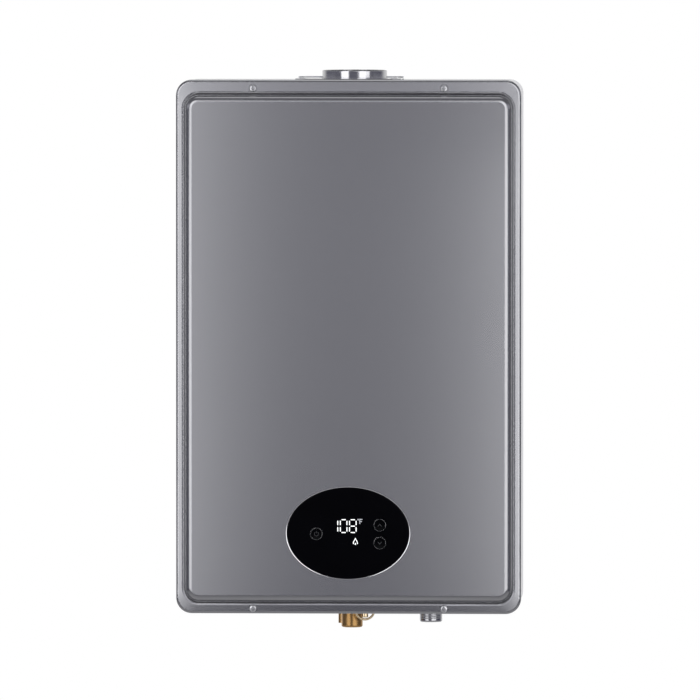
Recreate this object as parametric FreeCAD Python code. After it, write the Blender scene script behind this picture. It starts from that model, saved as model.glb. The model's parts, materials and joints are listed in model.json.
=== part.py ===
import FreeCAD, Part
import math
import os

from FreeCAD import Vector as V

# Wall-hung tankless gas water heater, in millimetres.
# Origin: centre of the wall bracket's two bolt holes, on the wall plane.
# +X is right as seen from the front, +Y points into the wall, +Z is up.

os.makedirs("parts", exist_ok=True)

# Clearances
FACE_GAP = 0.3
RUNNING_GAP = 0.05
SCREW_GAP = 0.3
FIT_GAP = 0.15

# Rear case, a folded sheet tray that is open at the front
CASE_W = 384.0
CASE_H = 596.0
CASE_DEPTH = 134.0
CASE_SHEET = 1.0
CASE_CORNER_R = 15.6
CASE_LIP = 13.0
CASE_BACK_R = 2.0
WALL_STANDOFF = 12.0
BRACKET_DROP = 50.0
TOP_FLANGE = 12.0
VENT_COUNT = 7
VENT_PITCH = 20.0
VENT_W = 5.0
VENT_H = 60.0
VENT_RISE = 40.0

# Front cover, one pressed sheet
COVER_SHEET = 1.0
COVER_SIDE_GAP = 1.0
COVER_SKIRT = 12.0
COVER_EDGE_R = 3.2
STEP_OUT = 8.0
STEP_DRAFT = 1.5
STEP_EDGE_R = 6.8
FLANGE_TOP = 15.1
FLANGE_BOTTOM = 11.6
FLANGE_SIDE = 8.8
FLANGE_FALL = 0.6
FLANGE_CORNER_R = 17.4
GROOVE_W = 0.2
GROOVE_W_TOP = 0.3
GROOVE_W_BOTTOM = 0.3
GROOVE_DEPTH = 1.8
GROOVE_SLOPE = 45.0
GROOVE_EDGE_R = 5.3
STEP_CORNER_R = 15.0
GASKET_T = 1.6
GASKET_W = 5.6
GASKET_INSET = 0.5

# Cover screws
SCREW_X = 107.5
SCREW_FROM_TOP = 9.5
SCREW_FROM_BOTTOM = 5.7
COVER_SCREW_R = 2.0
COVER_SCREW_HEAD_R = 4.0
COVER_SCREW_HEAD_T = 1.9
COVER_SCREW_L = 9.0
SCREW_SEAT_R = 4.3

# Oval display
OVAL_W = 138.0
OVAL_H = 102.8
OVAL_Z = 91.2
LENS_RISE = 0.6
LENS_BACK_T = 1.5
LENS_RIM = 4.0
HOUSING_DEPTH = 24.0
HOUSING_WALL = 2.0
EAR_R = 5.0
EAR_T = 3.0
ARM_W = 6.0
ARM_REACH = 26.0
EAR_HOLE_R = 1.5
BOARD_POST_R = 3.0
COVER_BOSS_R = 3.5
COVER_BOSS_BORE = 1.3
BOARD_T = 1.6
BOARD_BACK = 11.0
BUTTON_R = 6.9
BUTTON_RISE = 0.9
BUTTON_TRAVEL = 0.8
BUTTON_STEM_R = 3.0
BUTTON_RIM = 1.5
BUTTON_RIM_T = 0.5
BUTTON_DISH_R = 70.0
BUTTON_DISH = 0.3
SWITCH_W = 6.0
POWER_X, POWER_Z = -35.5, -0.8
RAISE_X, RAISE_Z = 35.7, 9.2
LOWER_X, LOWER_Z = 35.7, -11.0
DIGITS_W, DIGITS_H = 40.0, 34.0
DIGITS_X, DIGITS_Z = 4.0, 2.0
DISPLAY_BOSS_X, DISPLAY_BOSS_Z = 62.0, 46.0
BOARD_POST_X, BOARD_POST_Z = 44.0, 22.0
BOARD_W, BOARD_H = 112.0, 62.0
SWITCH_H = 3.5
SWITCH_TIP = 0.8
SWITCH_TIP_R = 1.6
HOUSING_ROOM = 4.0

# Flue
FLUE_X = 3.5
FLUE_BACK = 72.0
FLUE_R = 36.6
FLUE_WALL = 1.2
FLUE_RISE = 11.2
FLUE_FLANGE = 5.0
PLATE_X = -2.2
PLATE_W = 119.0
PLATE_D = 92.0
PLATE_T = 1.3
PLATE_CUT = 9.0
PLATE_HOLE_GAP = 1.2
PLATE_BOLT_INSET = 8.0
PLATE_BOLT_R = 1.9
PLATE_BOLT_HEAD_R = 3.6
PLATE_BOLT_HEAD_T = 1.6

# Exhaust fan, a scroll with its axis front to back
FAN_X = -38.0
FAN_BELOW_TOP = 91.0
FAN_DEPTH = 50.0
FAN_SHEET = 1.0
SCROLL_R = 47.0
SCROLL_STEP = 6.5
DUCT_W = 48.0
WHEEL_R = 42.0
WHEEL_BLADES = 24
WHEEL_SIDE_GAP = 3.0
HUB_L = 16.0
SHAFT_R = 4.0
INLET_R = 30.0
MOTOR_R = 28.0
MOTOR_L = 30.0
MOTOR_BOLT_CIRCLE = 22.0
MOTOR_BOLT_R = 1.5
MOTOR_BOLT_HEAD_R = 2.8
MOTOR_BOLT_HEAD_T = 1.4
MOTOR_FLANGE = 2.5
MOTOR_RIM = 6.0
HUB_R = 9.0
WHEEL_DISC_T = 1.5
BLADE_W = 8.0
BLADE_T = 1.0

# Heat exchanger, chamber and burner, stacked in one sheet column
CORE_W = 260.0
CORE_D = 96.0
CORE_BACK = 26.0
CORE_SHEET = 1.0
BURNER_H = 84.0
EXCHANGER_H = 54.0
HOOD_H = 40.0
HOOD_BELOW_FAN = 64.4
HOOD_ABOVE_FAN = 46.0
FLANGE_EDGE = 8.0
ANGLE_H = 24.0
FIN_COUNT = 31
FIN_T = 0.8
FIN_H = 46.0
TUBE_R = 8.0
TUBE_PASSES = 4
TUBE_PITCH = 24.0
TUBE_OUT = 15.0
RISE_OUT = 16.0
BURNER_BARS = 12
BAR_T = 12.0
BAR_H = 62.0
JET_RISE = 18.0
NOZZLE_R = 3.5
MANIFOLD_D = 14.0
MANIFOLD_H = 16.0
ELECTRODE_XS = (-30.0, -14.0)
FLAME_SENSOR_X = 40.0
ELECTRODE_RISE = 14.0
ELECTRODE_R = 4.0

# Pipes and fittings under the case
COLD_X = 0.7
HOT_X = -90.0
GAS_X = 89.9
PIPE_BACK = 74.0
HOT_BACK = 48.0
COLD_THREAD_R = 12.0
GAS_THREAD_R = 12.6
COLD_DROP = 21.6
GAS_DROP = 15.3
HOT_DROP = 5.0
COLD_BORE_R = 8.0
GAS_BORE_R = 7.5
HOT_BORE_R = 12.2
HOT_BORE_L = 16.0
HOT_SOCKET_WALL = 2.6
HEX_AF = 32.0
HEX_H = 11.0
THREAD_RELIEF = 0.6
RELIEF_L = 1.0
REAR_BOSS_R = 4.5
REAR_BOSS_SIDE = 11.7
REAR_BOSS_BACK = 16.2
REAR_BOSS_DROP = 18.0
PIPE_R = 8.0
PIPE_WALL = 1.0
PIPE_BEND = 14.0
GAS_PIPE_R = 7.0
GAS_PIPE_RISE = 14.0
GAS_PIPE_BEND = 12.0
HOT_PIPE_RISE = 70.0
VALVE_W = 52.0
VALVE_D = 46.0
VALVE_H = 58.0
VALVE_RISE = 33.0
SENSOR_R = 15.0
SENSOR_RISE = 29.0
SENSOR_H = 46.0
ROTOR_H = 14.0
ROTOR_R = 10.5
ROTOR_PIN_R = 1.2

# Drain plug, in front of the cold inlet and to its right
DRAIN_SIDE = 15.4
DRAIN_FORWARD = 19.0
DRAIN_DROP = 13.2
DRAIN_R = 4.2
DRAIN_NECK_R = 5.5
DRAIN_BODY_R = 7.0
DRAIN_BODY_H = 20.0
DRAIN_WIRE_R = 1.3
DRAIN_HANDLE_W = 23.2
DRAIN_HANDLE_TURN = 8.0
SEAL_R = 0.45
SEAL_RISE = 9.0

# Electrical parts
GLAND_SIDE, GLAND_BACK, GLAND_R = 42.0, 40.0, 8.0
GLAND_BORE_R = 4.2
GLAND_HEAD = 3.0
GLAND_HEAD_T = 3.5
BOX_SIDE_GAP = 13.0
BOX_VALVE_GAP = 10.1
BOX_BELOW = 3.0
BOX_H = 84.0
BOX_DEPTH = 60.0
BOX_WALL = 2.0
TRANSFORMER_W, TRANSFORMER_H = 25.0, 40.0
TRANSFORMER_RISE = 260.0
TRANSFORMER_D = 34.0
TRANSFORMER_FOOT = 10.0
WINDING_PROUD = 2.0
IGNITER_W, IGNITER_H, IGNITER_D = 28.0, 56.0, 24.0
IGNITER_RISE = 180.0
AIR_SWITCH_SIDE = 84.0
AIR_SWITCH_R = 27.0
AIR_SWITCH_T = 12.0
AIR_SWITCH_CAP = 10.0
AIR_SWITCH_CAP_R = 21.0
AIR_SWITCH_PORT_R = 3.0

# Wall fixing
BRACKET_W = 200.0
BRACKET_BELOW = 18.0
BRACKET_ABOVE = 14.0
BRACKET_T = 2.0
LIP_REACH = 8.0
LIP_H = 12.0
BOLT_SPACING = 140.0
BOLT_R = 3.3
HOOK_W = 170.0
HOOK_T = 1.5
HOOK_DROP = 9.0
HANGER_BELOW, HANGER_ABOVE = 16.0, 18.0
BUMPER_SIDE = 72.0
BUMPER_RISE = 60.0
BUMPER_R = 9.0
STRAP_RISE, STRAP_FOOT_H, STRAP_PAD_H = 20.0, 20.0, 14.0

# Places that follow from the sizes above
BOTTOM = BRACKET_DROP - CASE_H
TOP = BRACKET_DROP
FLOOR = BOTTOM + CASE_SHEET
BACK = -WALL_STANDOFF
CASE_FRONT = BACK - CASE_DEPTH
INSIDE_BACK = BACK - CASE_SHEET
COVER_W = CASE_W + 2 * (COVER_SIDE_GAP + COVER_SHEET)
COVER_TOP = TOP + COVER_SIDE_GAP + COVER_SHEET
COVER_BOTTOM = BOTTOM - COVER_SIDE_GAP - COVER_SHEET
COVER_CORNER_R = CASE_CORNER_R + COVER_SIDE_GAP + COVER_SHEET
FLANGE_Y = CASE_FRONT - GASKET_T - FLANGE_FALL - COVER_SHEET
RIM_Y = FLANGE_Y + FLANGE_FALL
PANEL_Y = FLANGE_Y - STEP_OUT

LENS_FRONT = PANEL_Y - LENS_RISE
LENS_SEAT = PANEL_Y + COVER_SHEET
LENS_BACK = LENS_SEAT + LENS_BACK_T
HOUSING_BACK = LENS_BACK + HOUSING_DEPTH
BOARD_FRONT = LENS_BACK + BOARD_BACK
OVAL_CZ = COVER_BOTTOM + OVAL_Z
HOUSING_TOP = OVAL_CZ + OVAL_H / 2 + LENS_RIM
BUTTONS = {
    "power_button": (POWER_X, POWER_Z),
    "raise_button": (RAISE_X, RAISE_Z),
    "lower_button": (LOWER_X, LOWER_Z),
}

JET_Z = HOUSING_TOP + HOUSING_ROOM + MANIFOLD_H / 2
CORE_BACK_Y = -CORE_BACK
CORE_FRONT_Y = CORE_BACK_Y - CORE_D
CORE_Y = (CORE_BACK_Y + CORE_FRONT_Y) / 2
BURNER_FLOOR = JET_Z - JET_RISE
BURNER_TOP = BURNER_FLOOR + BURNER_H
FAN_CZ = TOP - FAN_BELOW_TOP
EXCHANGER_TOP = FAN_CZ - HOOD_BELOW_FAN - HOOD_H
CHAMBER_TOP = EXCHANGER_TOP - EXCHANGER_H
TUBE_Z = CHAMBER_TOP + EXCHANGER_H / 2
TUBE_END = CORE_W / 2 + TUBE_OUT
RISE_X = -TUBE_END - RISE_OUT
MANIFOLD_BACK = CORE_FRONT_Y - FACE_GAP
MANIFOLD_Y = MANIFOLD_BACK - MANIFOLD_D / 2

FLUE_Y = -FLUE_BACK
FAN_BACK = FLUE_Y + FAN_DEPTH / 2
FAN_FRONT = FLUE_Y - FAN_DEPTH / 2
HOOD_BACK = CORE_BACK_Y
HOOD_BOX_X0, HOOD_BOX_X1 = FAN_X - WHEEL_R - 2.0, FAN_X + WHEEL_R + 2.0

PIPE_Y = -PIPE_BACK
VALVE_Z0 = FLOOR + VALVE_RISE
SENSOR_Z0 = FLOOR + SENSOR_RISE
RUN_Z = BURNER_FLOOR - ANGLE_H - PIPE_R - 3.0
HOT_BODY_TOP = FLOOR + 24.0
DRAIN_X = COLD_X + DRAIN_SIDE
DRAIN_Y = PIPE_Y - DRAIN_FORWARD
GLAND_X = -CASE_W / 2 + GLAND_SIDE
GLAND_Y = -GLAND_BACK
CASE_IN_X = CASE_W / 2 - CASE_SHEET
BOX_X0 = GAS_X + VALVE_W / 2 + BOX_VALVE_GAP
BOX_X1 = CASE_IN_X - BOX_SIDE_GAP
BOX_Z1 = BURNER_FLOOR - ANGLE_H - BOX_BELOW
BOX_Z0 = BOX_Z1 - BOX_H
BESIDE_CORE_X = (CORE_W / 2 + FLANGE_EDGE + CASE_IN_X) / 2


def box(x0, x1, y0, y1, z0, z1):
    """A block between two corners, whichever way each pair is given."""
    lo = V(min(x0, x1), min(y0, y1), min(z0, z1))
    hi = V(max(x0, x1), max(y0, y1), max(z0, z1))
    return Part.makeBox(hi.x - lo.x, hi.y - lo.y, hi.z - lo.z, lo)


def rod(r, start, end):
    """A round bar from one point to another."""
    line = end - start
    return Part.makeCylinder(r, line.Length, start, line)


def ring(outer, inner, start, end):
    return rod(outer, start, end).cut(rod(inner, start, end))


def slab_outline(w, z0, z1, y, corner, cx=0.0):
    """A closed wire: a rectangle with round corners in the plane at y."""
    x0, x1 = cx - w / 2, cx + w / 2
    c = min(corner, w / 2 - 0.01, (z1 - z0) / 2 - 0.01)
    k = c * (1 - math.sqrt(0.5))
    edges = [
        Part.LineSegment(V(x0 + c, y, z0), V(x1 - c, y, z0)).toShape(),
        Part.Arc(V(x1 - c, y, z0), V(x1 - k, y, z0 + k), V(x1, y, z0 + c)).toShape(),
        Part.LineSegment(V(x1, y, z0 + c), V(x1, y, z1 - c)).toShape(),
        Part.Arc(V(x1, y, z1 - c), V(x1 - k, y, z1 - k), V(x1 - c, y, z1)).toShape(),
        Part.LineSegment(V(x1 - c, y, z1), V(x0 + c, y, z1)).toShape(),
        Part.Arc(V(x0 + c, y, z1), V(x0 + k, y, z1 - k), V(x0, y, z1 - c)).toShape(),
        Part.LineSegment(V(x0, y, z1 - c), V(x0, y, z0 + c)).toShape(),
        Part.Arc(V(x0, y, z0 + c), V(x0 + k, y, z0 + k), V(x0 + c, y, z0)).toShape(),
    ]
    return Part.Wire(edges)


def slab(w, z0, z1, y0, y1, corner, cx=0.0):
    """A rounded block: slab_outline pulled from y0 to y1."""
    face = Part.Face(slab_outline(w, z0, z1, y0, corner, cx))
    return face.extrude(V(0, y1 - y0, 0))


def oval(w, h, y0, y1):
    """An elliptical plug round the display's centre."""
    curve = Part.Ellipse(V(0, 0, 0), w / 2, h / 2).toShape()
    face = Part.Face(Part.Wire([curve]))
    face.rotate(V(0, 0, 0), V(1, 0, 0), 90)
    face.translate(V(0, y0, OVAL_CZ))
    return face.extrude(V(0, y1 - y0, 0))


def hexagon(af, x, y, z0, z1):
    r = af / math.sqrt(3)
    points = [V(x + r * math.cos(math.radians(60 * i)), y + r * math.sin(math.radians(60 * i)), z0)
              for i in range(7)]
    return Part.Face(Part.makePolygon(points)).extrude(V(0, 0, z1 - z0))


def edges_at_y(shape, y, reach=0.01):
    """The edges that lie wholly in the plane at y."""
    found = []
    for edge in shape.Edges:
        b = edge.BoundBox
        if abs(b.YMin - y) < reach and abs(b.YMax - y) < reach:
            found.append(edge)
    return found


def bent_path(points, bend):
    """Straight runs joined by tangent arcs of radius bend, as one wire."""
    edges = []
    here = points[0]
    for i in range(1, len(points) - 1):
        a, p, b = points[i - 1], points[i], points[i + 1]
        u = (a - p).normalize()
        w = (b - p).normalize()
        half = u.getAngle(w) / 2
        cut = bend / math.tan(half)
        start, end = p + u * cut, p + w * cut
        middle = p + (u + w).normalize() * (bend / math.sin(half) - bend)
        edges.append(Part.LineSegment(here, start).toShape())
        edges.append(Part.Arc(start, middle, end).toShape())
        here = end
    edges.append(Part.LineSegment(here, points[-1]).toShape())
    return Part.Wire(edges)


def swept(path, r, start, along):
    """A round bar of radius r along a path that begins at start."""
    profile = Part.Wire([Part.makeCircle(r, start, along)])
    return path.makePipeShell([profile], True, False)


def rounded_pipe(points, r, bend, wall=PIPE_WALL):
    """A hollow pipe along straight runs joined by tangent arcs."""
    path = bent_path(points, bend)
    along = points[1] - points[0]
    return swept(path, r, points[0], along).cut(swept(path, r - wall, points[0], along))


def pan_screw(r, length, head_r, head_t, seat, axis):
    """A pan-head screw whose head stands on seat and whose shank goes along axis."""
    shank = rod(r, seat, seat + axis * length)
    head = rod(head_r, seat - axis * head_t, seat)
    head = head.makeFillet(head_t * 0.45, edges_on_plane(head, seat - axis * head_t, axis))
    slot_l, slot_w, depth = head_r * 1.1, head_r * 0.24, head_t * 0.6
    top = seat - axis * head_t
    side = V(0, 0, 1) if abs(axis.z) < 0.5 else V(1, 0, 0)
    for turn in (0, 90):
        bar = Part.makeBox(slot_l, slot_w, depth, V(-slot_l / 2, -slot_w / 2, 0))
        bar.rotate(V(0, 0, 0), V(0, 0, 1), turn)
        facing = FreeCAD.Rotation(side, V(), axis, "ZXY")
        bar.Placement = FreeCAD.Placement(top, facing).multiply(bar.Placement)
        head = head.cut(bar)
    return head.fuse(shank).removeSplitter()


def edges_on_plane(shape, point, normal):
    """The edges that lie in the plane through point."""
    found = []
    for edge in shape.Edges:
        first, last = edge.FirstParameter, edge.LastParameter
        ends = [edge.valueAt(first), edge.valueAt((first + last) / 2)]
        if all(abs((p - point).dot(normal)) < 1e-4 for p in ends):
            found.append(edge)
    return found


def group(shapes):
    return Part.makeCompound(shapes)


def save(name, shape):
    shape.exportStep("parts/" + name + ".step")
    state = "valid" if shape.isValid() else "NOT VALID"
    print(name, len(shape.Solids), "solids", round(shape.Volume, 1), "mm3", state)


FRONT = V(0, -1, 0)
REAR = V(0, 1, 0)
UP = V(0, 0, 1)
DOWN = V(0, 0, -1)


def cover_screw_seats():
    """The four places where the cover is screwed to the case's lip."""
    rows = (COVER_TOP - SCREW_FROM_TOP, COVER_BOTTOM + SCREW_FROM_BOTTOM)
    return [V(x, RIM_Y, z) for z in rows for x in (-SCREW_X, SCREW_X)]


def plate_bolt_seats(z):
    """The four corners where flue plate, case top and fan duct are screwed together."""
    dx, dy = PLATE_W / 2 - PLATE_BOLT_INSET, PLATE_D / 2 - PLATE_BOLT_INSET
    return [V(PLATE_X + i * dx, FLUE_Y + j * dy, z) for i in (-1, 1) for j in (-1, 1)]


def bottom_fittings():
    """Each fitting's x, y and neck radius where it passes the case's floor."""
    return {
        "cold": (COLD_X, PIPE_Y, COLD_THREAD_R),
        "boss": (COLD_X - REAR_BOSS_SIDE, PIPE_Y + REAR_BOSS_BACK, REAR_BOSS_R),
        "gas": (GAS_X, PIPE_Y, GAS_THREAD_R),
        "hot": (HOT_X, -HOT_BACK, HOT_BORE_R + HOT_SOCKET_WALL),
        "drain": (DRAIN_X, DRAIN_Y, DRAIN_NECK_R),
        "gland": (GLAND_X, GLAND_Y, GLAND_R),
    }


def case_shell():
    """The whole folded case with an inward lip at its open front and its holes."""
    outer = slab(CASE_W, BOTTOM, TOP, BACK, CASE_FRONT, CASE_CORNER_R)
    outer = outer.makeFillet(CASE_BACK_R, edges_at_y(outer, BACK))
    inner = slab(CASE_W - 2 * CASE_SHEET, BOTTOM + CASE_SHEET, TOP - CASE_SHEET,
                 INSIDE_BACK, CASE_FRONT + CASE_SHEET, CASE_CORNER_R - CASE_SHEET)
    mouth = slab(CASE_W - 2 * CASE_LIP, BOTTOM + CASE_LIP, TOP - CASE_LIP,
                 CASE_FRONT + CASE_SHEET + 1, CASE_FRONT - 1, CASE_CORNER_R - 4)
    case = outer.cut(inner).cut(mouth)
    for seat in cover_screw_seats():
        case = case.cut(rod(COVER_SCREW_R + FIT_GAP, V(seat.x, CASE_FRONT - 1, seat.z),
                            V(seat.x, CASE_FRONT + CASE_SHEET + 1, seat.z)))
    flue = V(FLUE_X, FLUE_Y, TOP)
    case = case.cut(rod(FLUE_R + FLUE_FLANGE / 2, flue + DOWN * 5, flue + UP * 5))
    for seat in plate_bolt_seats(TOP):
        case = case.cut(rod(PLATE_BOLT_R + SCREW_GAP, seat + DOWN * 5, seat + UP * 5))
    for x, y, r in bottom_fittings().values():
        case = case.cut(rod(r + SCREW_GAP, V(x, y, BOTTOM - 5), V(x, y, BOTTOM + 5)))
    vent_z = BOTTOM + VENT_RISE
    for i in range(VENT_COUNT):
        x = VENT_PITCH * (i - (VENT_COUNT - 1) / 2)
        vent = slab(VENT_W, vent_z, vent_z + VENT_H, BACK + 1, INSIDE_BACK - 1, VENT_W / 2 - 0.1, x)
        case = case.cut(vent)
    return case


def top_panel_space():
    """What the top panel takes from the case: between the corners, in front of the back wall."""
    half = CASE_W / 2 - CASE_CORNER_R
    return box(-half, half, INSIDE_BACK, CASE_FRONT - 1, TOP - CASE_LIP - 0.5, TOP + 1)


def rear_case():
    """Back, sides and floor of the case, folded from one sheet, with the round corners."""
    return case_shell().cut(top_panel_space())


def case_top():
    """Panel with the flue hole, its front lip and a rear flange against the back wall."""
    panel = case_shell().common(top_panel_space())
    half = CASE_W / 2 - CASE_CORNER_R
    inside = TOP - CASE_SHEET
    flange = box(-half, half, INSIDE_BACK, INSIDE_BACK - CASE_SHEET, inside - TOP_FLANGE, inside)
    return panel.fuse(flange).removeSplitter()


def cover_outline(inset, y, corner, top=0.0, bottom=0.0):
    """The flange's inner outline, drawn in by inset and further at the top and at the bottom."""
    w = COVER_W - 2 * (FLANGE_SIDE + inset)
    z0 = COVER_BOTTOM + FLANGE_BOTTOM + inset + bottom
    return slab_outline(w, z0, COVER_TOP - FLANGE_TOP - inset - top, y, corner)


def cover_pressing(shrink, back):
    """The cover's outer form as a solid, drawn in by shrink: skirt, sloping flange, groove, panel."""
    z0, z1 = COVER_BOTTOM + shrink, COVER_TOP - shrink
    w = COVER_W - 2 * shrink
    rim, face = RIM_Y + shrink, FLANGE_Y + shrink
    floor = face + GROOVE_DEPTH
    slope = math.radians(GROOVE_SLOPE)
    out = shrink * math.tan(slope / 2)
    run = GROOVE_DEPTH / math.tan(slope)
    base = slab(w, z0, z1, back, rim, COVER_CORNER_R - shrink)
    crown = Part.makeLoft([slab_outline(w, z0, z1, rim, COVER_CORNER_R - shrink),
                           cover_outline(-out, face, FLANGE_CORNER_R + out)], True, True)
    base = base.fuse(crown).removeSplitter()
    if COVER_EDGE_R > shrink + 0.1:
        base = base.makeFillet(COVER_EDGE_R - shrink, edges_at_y(base, rim))
    mouth = Part.makeLoft([cover_outline(-out, face, FLANGE_CORNER_R + out),
                           cover_outline(run - out, floor, FLANGE_CORNER_R + out - run)], True, True)
    base = base.cut(mouth)
    base = base.makeFillet(GROOVE_EDGE_R - shrink, edges_at_y(base, face))
    foot = floor + COVER_SHEET
    lean = STEP_DRAFT * (foot - PANEL_Y - shrink) / (STEP_OUT + GROOVE_DEPTH)
    wall = run + GROOVE_W + shrink
    wider = (GROOVE_W_TOP - GROOVE_W, GROOVE_W_BOTTOM - GROOVE_W)
    low = cover_outline(wall, foot, STEP_CORNER_R - shrink, *wider)
    high = cover_outline(wall + lean, PANEL_Y + shrink, STEP_CORNER_R - shrink - lean, *wider)
    panel = Part.makeLoft([low, high], True, True)
    panel = panel.makeFillet(STEP_EDGE_R - shrink, edges_at_y(panel, PANEL_Y + shrink))
    return base.fuse(panel)


def front_cover():
    """One pressed sheet with a flat seat round each screw and bosses for the display's screws."""
    back = FLANGE_Y + COVER_SKIRT
    cover = cover_pressing(0.0, back).cut(cover_pressing(COVER_SHEET, back + 1))
    cover = cover.cut(oval(OVAL_W + 2 * FIT_GAP, OVAL_H + 2 * FIT_GAP, PANEL_Y - 1, PANEL_Y + 3))
    for seat in cover_screw_seats():
        cover = cover.cut(rod(SCREW_SEAT_R, seat + FRONT * 2, seat))
        cover = cover.cut(rod(COVER_SCREW_R + SCREW_GAP, seat + FRONT * 2, seat + REAR * 3))
    inner = PANEL_Y + COVER_SHEET
    for i in (-1, 1):
        for j in (-1, 1):
            at = V(i * DISPLAY_BOSS_X, inner, OVAL_CZ + j * DISPLAY_BOSS_Z)
            boss = ring(COVER_BOSS_R, COVER_BOSS_BORE, at, at + REAR * LENS_BACK_T)
            cover = cover.fuse(boss)
    return cover


def cover_gasket():
    """Seal that fills the space between the case's lip and the back of the cover's flange."""
    inset = GASKET_INSET
    half = CASE_W / 2 - inset
    outer = slab(2 * half, BOTTOM + inset, TOP - inset, CASE_FRONT, FLANGE_Y, CASE_CORNER_R - inset)
    inset += GASKET_W
    inner = slab(CASE_W - 2 * inset, BOTTOM + inset, TOP - inset, CASE_FRONT + 1, FLANGE_Y - 1,
                 CASE_CORNER_R - 2)
    gasket = outer.cut(inner).common(cover_pressing(COVER_SHEET, CASE_FRONT + COVER_EDGE_R))
    for seat in cover_screw_seats():
        hole = rod(COVER_SCREW_R + 1.0, V(seat.x, FLANGE_Y - 1, seat.z), V(seat.x, CASE_FRONT + 1, seat.z))
        gasket = gasket.cut(hole)
    return gasket


def cover_screws():
    size = (COVER_SCREW_R, COVER_SCREW_L, COVER_SCREW_HEAD_R, COVER_SCREW_HEAD_T)
    return group([pan_screw(*size, seat, REAR) for seat in cover_screw_seats()])


def display_lens():
    """Oval window with a rim behind the sheet and three round holes for the buttons."""
    lens = oval(OVAL_W, OVAL_H, LENS_FRONT, LENS_SEAT)
    lens = lens.makeFillet(LENS_RISE * 0.8, edges_at_y(lens, LENS_FRONT))
    lens = lens.fuse(oval(OVAL_W + 2 * LENS_RIM, OVAL_H + 2 * LENS_RIM, LENS_SEAT, LENS_BACK))
    for x, z in BUTTONS.values():
        at = V(x, LENS_FRONT - 1, OVAL_CZ + z)
        lens = lens.cut(rod(BUTTON_R + FIT_GAP, at, at + REAR * (LENS_BACK - LENS_FRONT + 2)))
    return lens.removeSplitter()


def display_housing():
    """Tray that presses the lens against the cover and carries the board on four posts."""
    w, h = OVAL_W + 2 * LENS_RIM, OVAL_H + 2 * LENS_RIM
    in_w, in_h = w - 2 * HOUSING_WALL, h - 2 * HOUSING_WALL
    tray = oval(w, h, LENS_BACK, HOUSING_BACK)
    tray = tray.cut(oval(in_w, in_h, LENS_BACK - 1, HOUSING_BACK - HOUSING_WALL))
    for i in (-1, 1):
        for j in (-1, 1):
            at = V(i * DISPLAY_BOSS_X, LENS_BACK, OVAL_CZ + j * DISPLAY_BOSS_Z)
            ear = rod(EAR_R, at, at + REAR * EAR_T)
            arm = box(i * (DISPLAY_BOSS_X - ARM_REACH), i * DISPLAY_BOSS_X, LENS_BACK, LENS_BACK + EAR_T,
                      at.z - ARM_W / 2, at.z + ARM_W / 2)
            inside = oval(in_w, in_h, LENS_BACK - 1, LENS_BACK + EAR_T + 1)
            tray = tray.fuse(ear.fuse(arm).cut(inside))
            tray = tray.cut(rod(EAR_HOLE_R + FIT_GAP, at + FRONT, at + REAR * (EAR_T + 1)))
            post = V(i * BOARD_POST_X, BOARD_FRONT + BOARD_T, OVAL_CZ + j * BOARD_POST_Z)
            foot = V(post.x, HOUSING_BACK - HOUSING_WALL / 2, post.z)
            tray = tray.fuse(rod(BOARD_POST_R, post, foot))
    return tray.removeSplitter()


def display_board():
    z0, z1 = OVAL_CZ - BOARD_H / 2, OVAL_CZ + BOARD_H / 2
    return slab(BOARD_W, z0, z1, BOARD_FRONT, BOARD_FRONT + BOARD_T, 12.0)


def display_digits():
    """Digit module between the board and the back of the lens."""
    z0, z1 = OVAL_CZ + DIGITS_Z - DIGITS_H / 2, OVAL_CZ + DIGITS_Z + DIGITS_H / 2
    return slab(DIGITS_W, z0, z1, LENS_BACK + FACE_GAP, BOARD_FRONT, 1.5, DIGITS_X)


def display_housing_screws():
    screws = []
    for i in (-1, 1):
        for j in (-1, 1):
            at = V(i * DISPLAY_BOSS_X, LENS_BACK + EAR_T, OVAL_CZ + j * DISPLAY_BOSS_Z)
            length = EAR_T + LENS_BACK_T - FACE_GAP
            screws.append(pan_screw(COVER_BOSS_BORE - 0.1, length, 2.6, 1.4, at, FRONT))
    return group(screws)


def button(x, z):
    """Round cap with a shallow dished face, a rim that keeps it behind the lens, and a stem."""
    front = LENS_FRONT - BUTTON_RISE
    at = V(x, front, OVAL_CZ + z)
    back = LENS_BACK + BUTTON_TRAVEL + FACE_GAP
    rim_back = back + BUTTON_RIM_T
    cap = rod(BUTTON_R, at, V(x, rim_back, at.z))
    cap = cap.makeFillet(0.5, edges_on_plane(cap, at, FRONT))
    cap = cap.cut(Part.makeSphere(BUTTON_DISH_R, V(x, front - BUTTON_DISH_R + BUTTON_DISH, at.z)))
    rim = rod(BUTTON_R + BUTTON_RIM, V(x, LENS_BACK + FACE_GAP, at.z), V(x, rim_back, at.z))
    tip = BOARD_FRONT - SWITCH_H - BUTTON_TRAVEL - FACE_GAP
    stem = rod(BUTTON_STEM_R, V(x, back, at.z), V(x, tip, at.z))
    return cap.fuse(rim).fuse(stem).removeSplitter()


def button_switches():
    """Three push switches that stand on the board behind the buttons."""
    bodies = []
    for x, z in BUTTONS.values():
        cz = OVAL_CZ + z
        top = BOARD_FRONT - SWITCH_H
        body = slab(SWITCH_W, cz - SWITCH_W / 2, cz + SWITCH_W / 2, top + SWITCH_TIP, BOARD_FRONT, 0.6, x)
        tip = rod(SWITCH_TIP_R, V(x, top, cz), V(x, top + SWITCH_TIP + 0.2, cz))
        bodies.append(body.fuse(tip))
    return group(bodies)


def flue_gasket():
    """Seal under the flue plate, round the collar's base flange."""
    z = TOP
    sheet = chamfered_plate(PLATE_W, PLATE_D, z, z + FLUE_WALL)
    low, high = V(FLUE_X, FLUE_Y, z - 1), V(FLUE_X, FLUE_Y, z + 4)
    sheet = sheet.cut(rod(FLUE_R + FLUE_FLANGE + FIT_GAP, low, high))
    for seat in plate_bolt_seats(z):
        sheet = sheet.cut(rod(PLATE_BOLT_R + SCREW_GAP, seat + DOWN * 2, seat + UP * 4))
    return sheet


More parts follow.
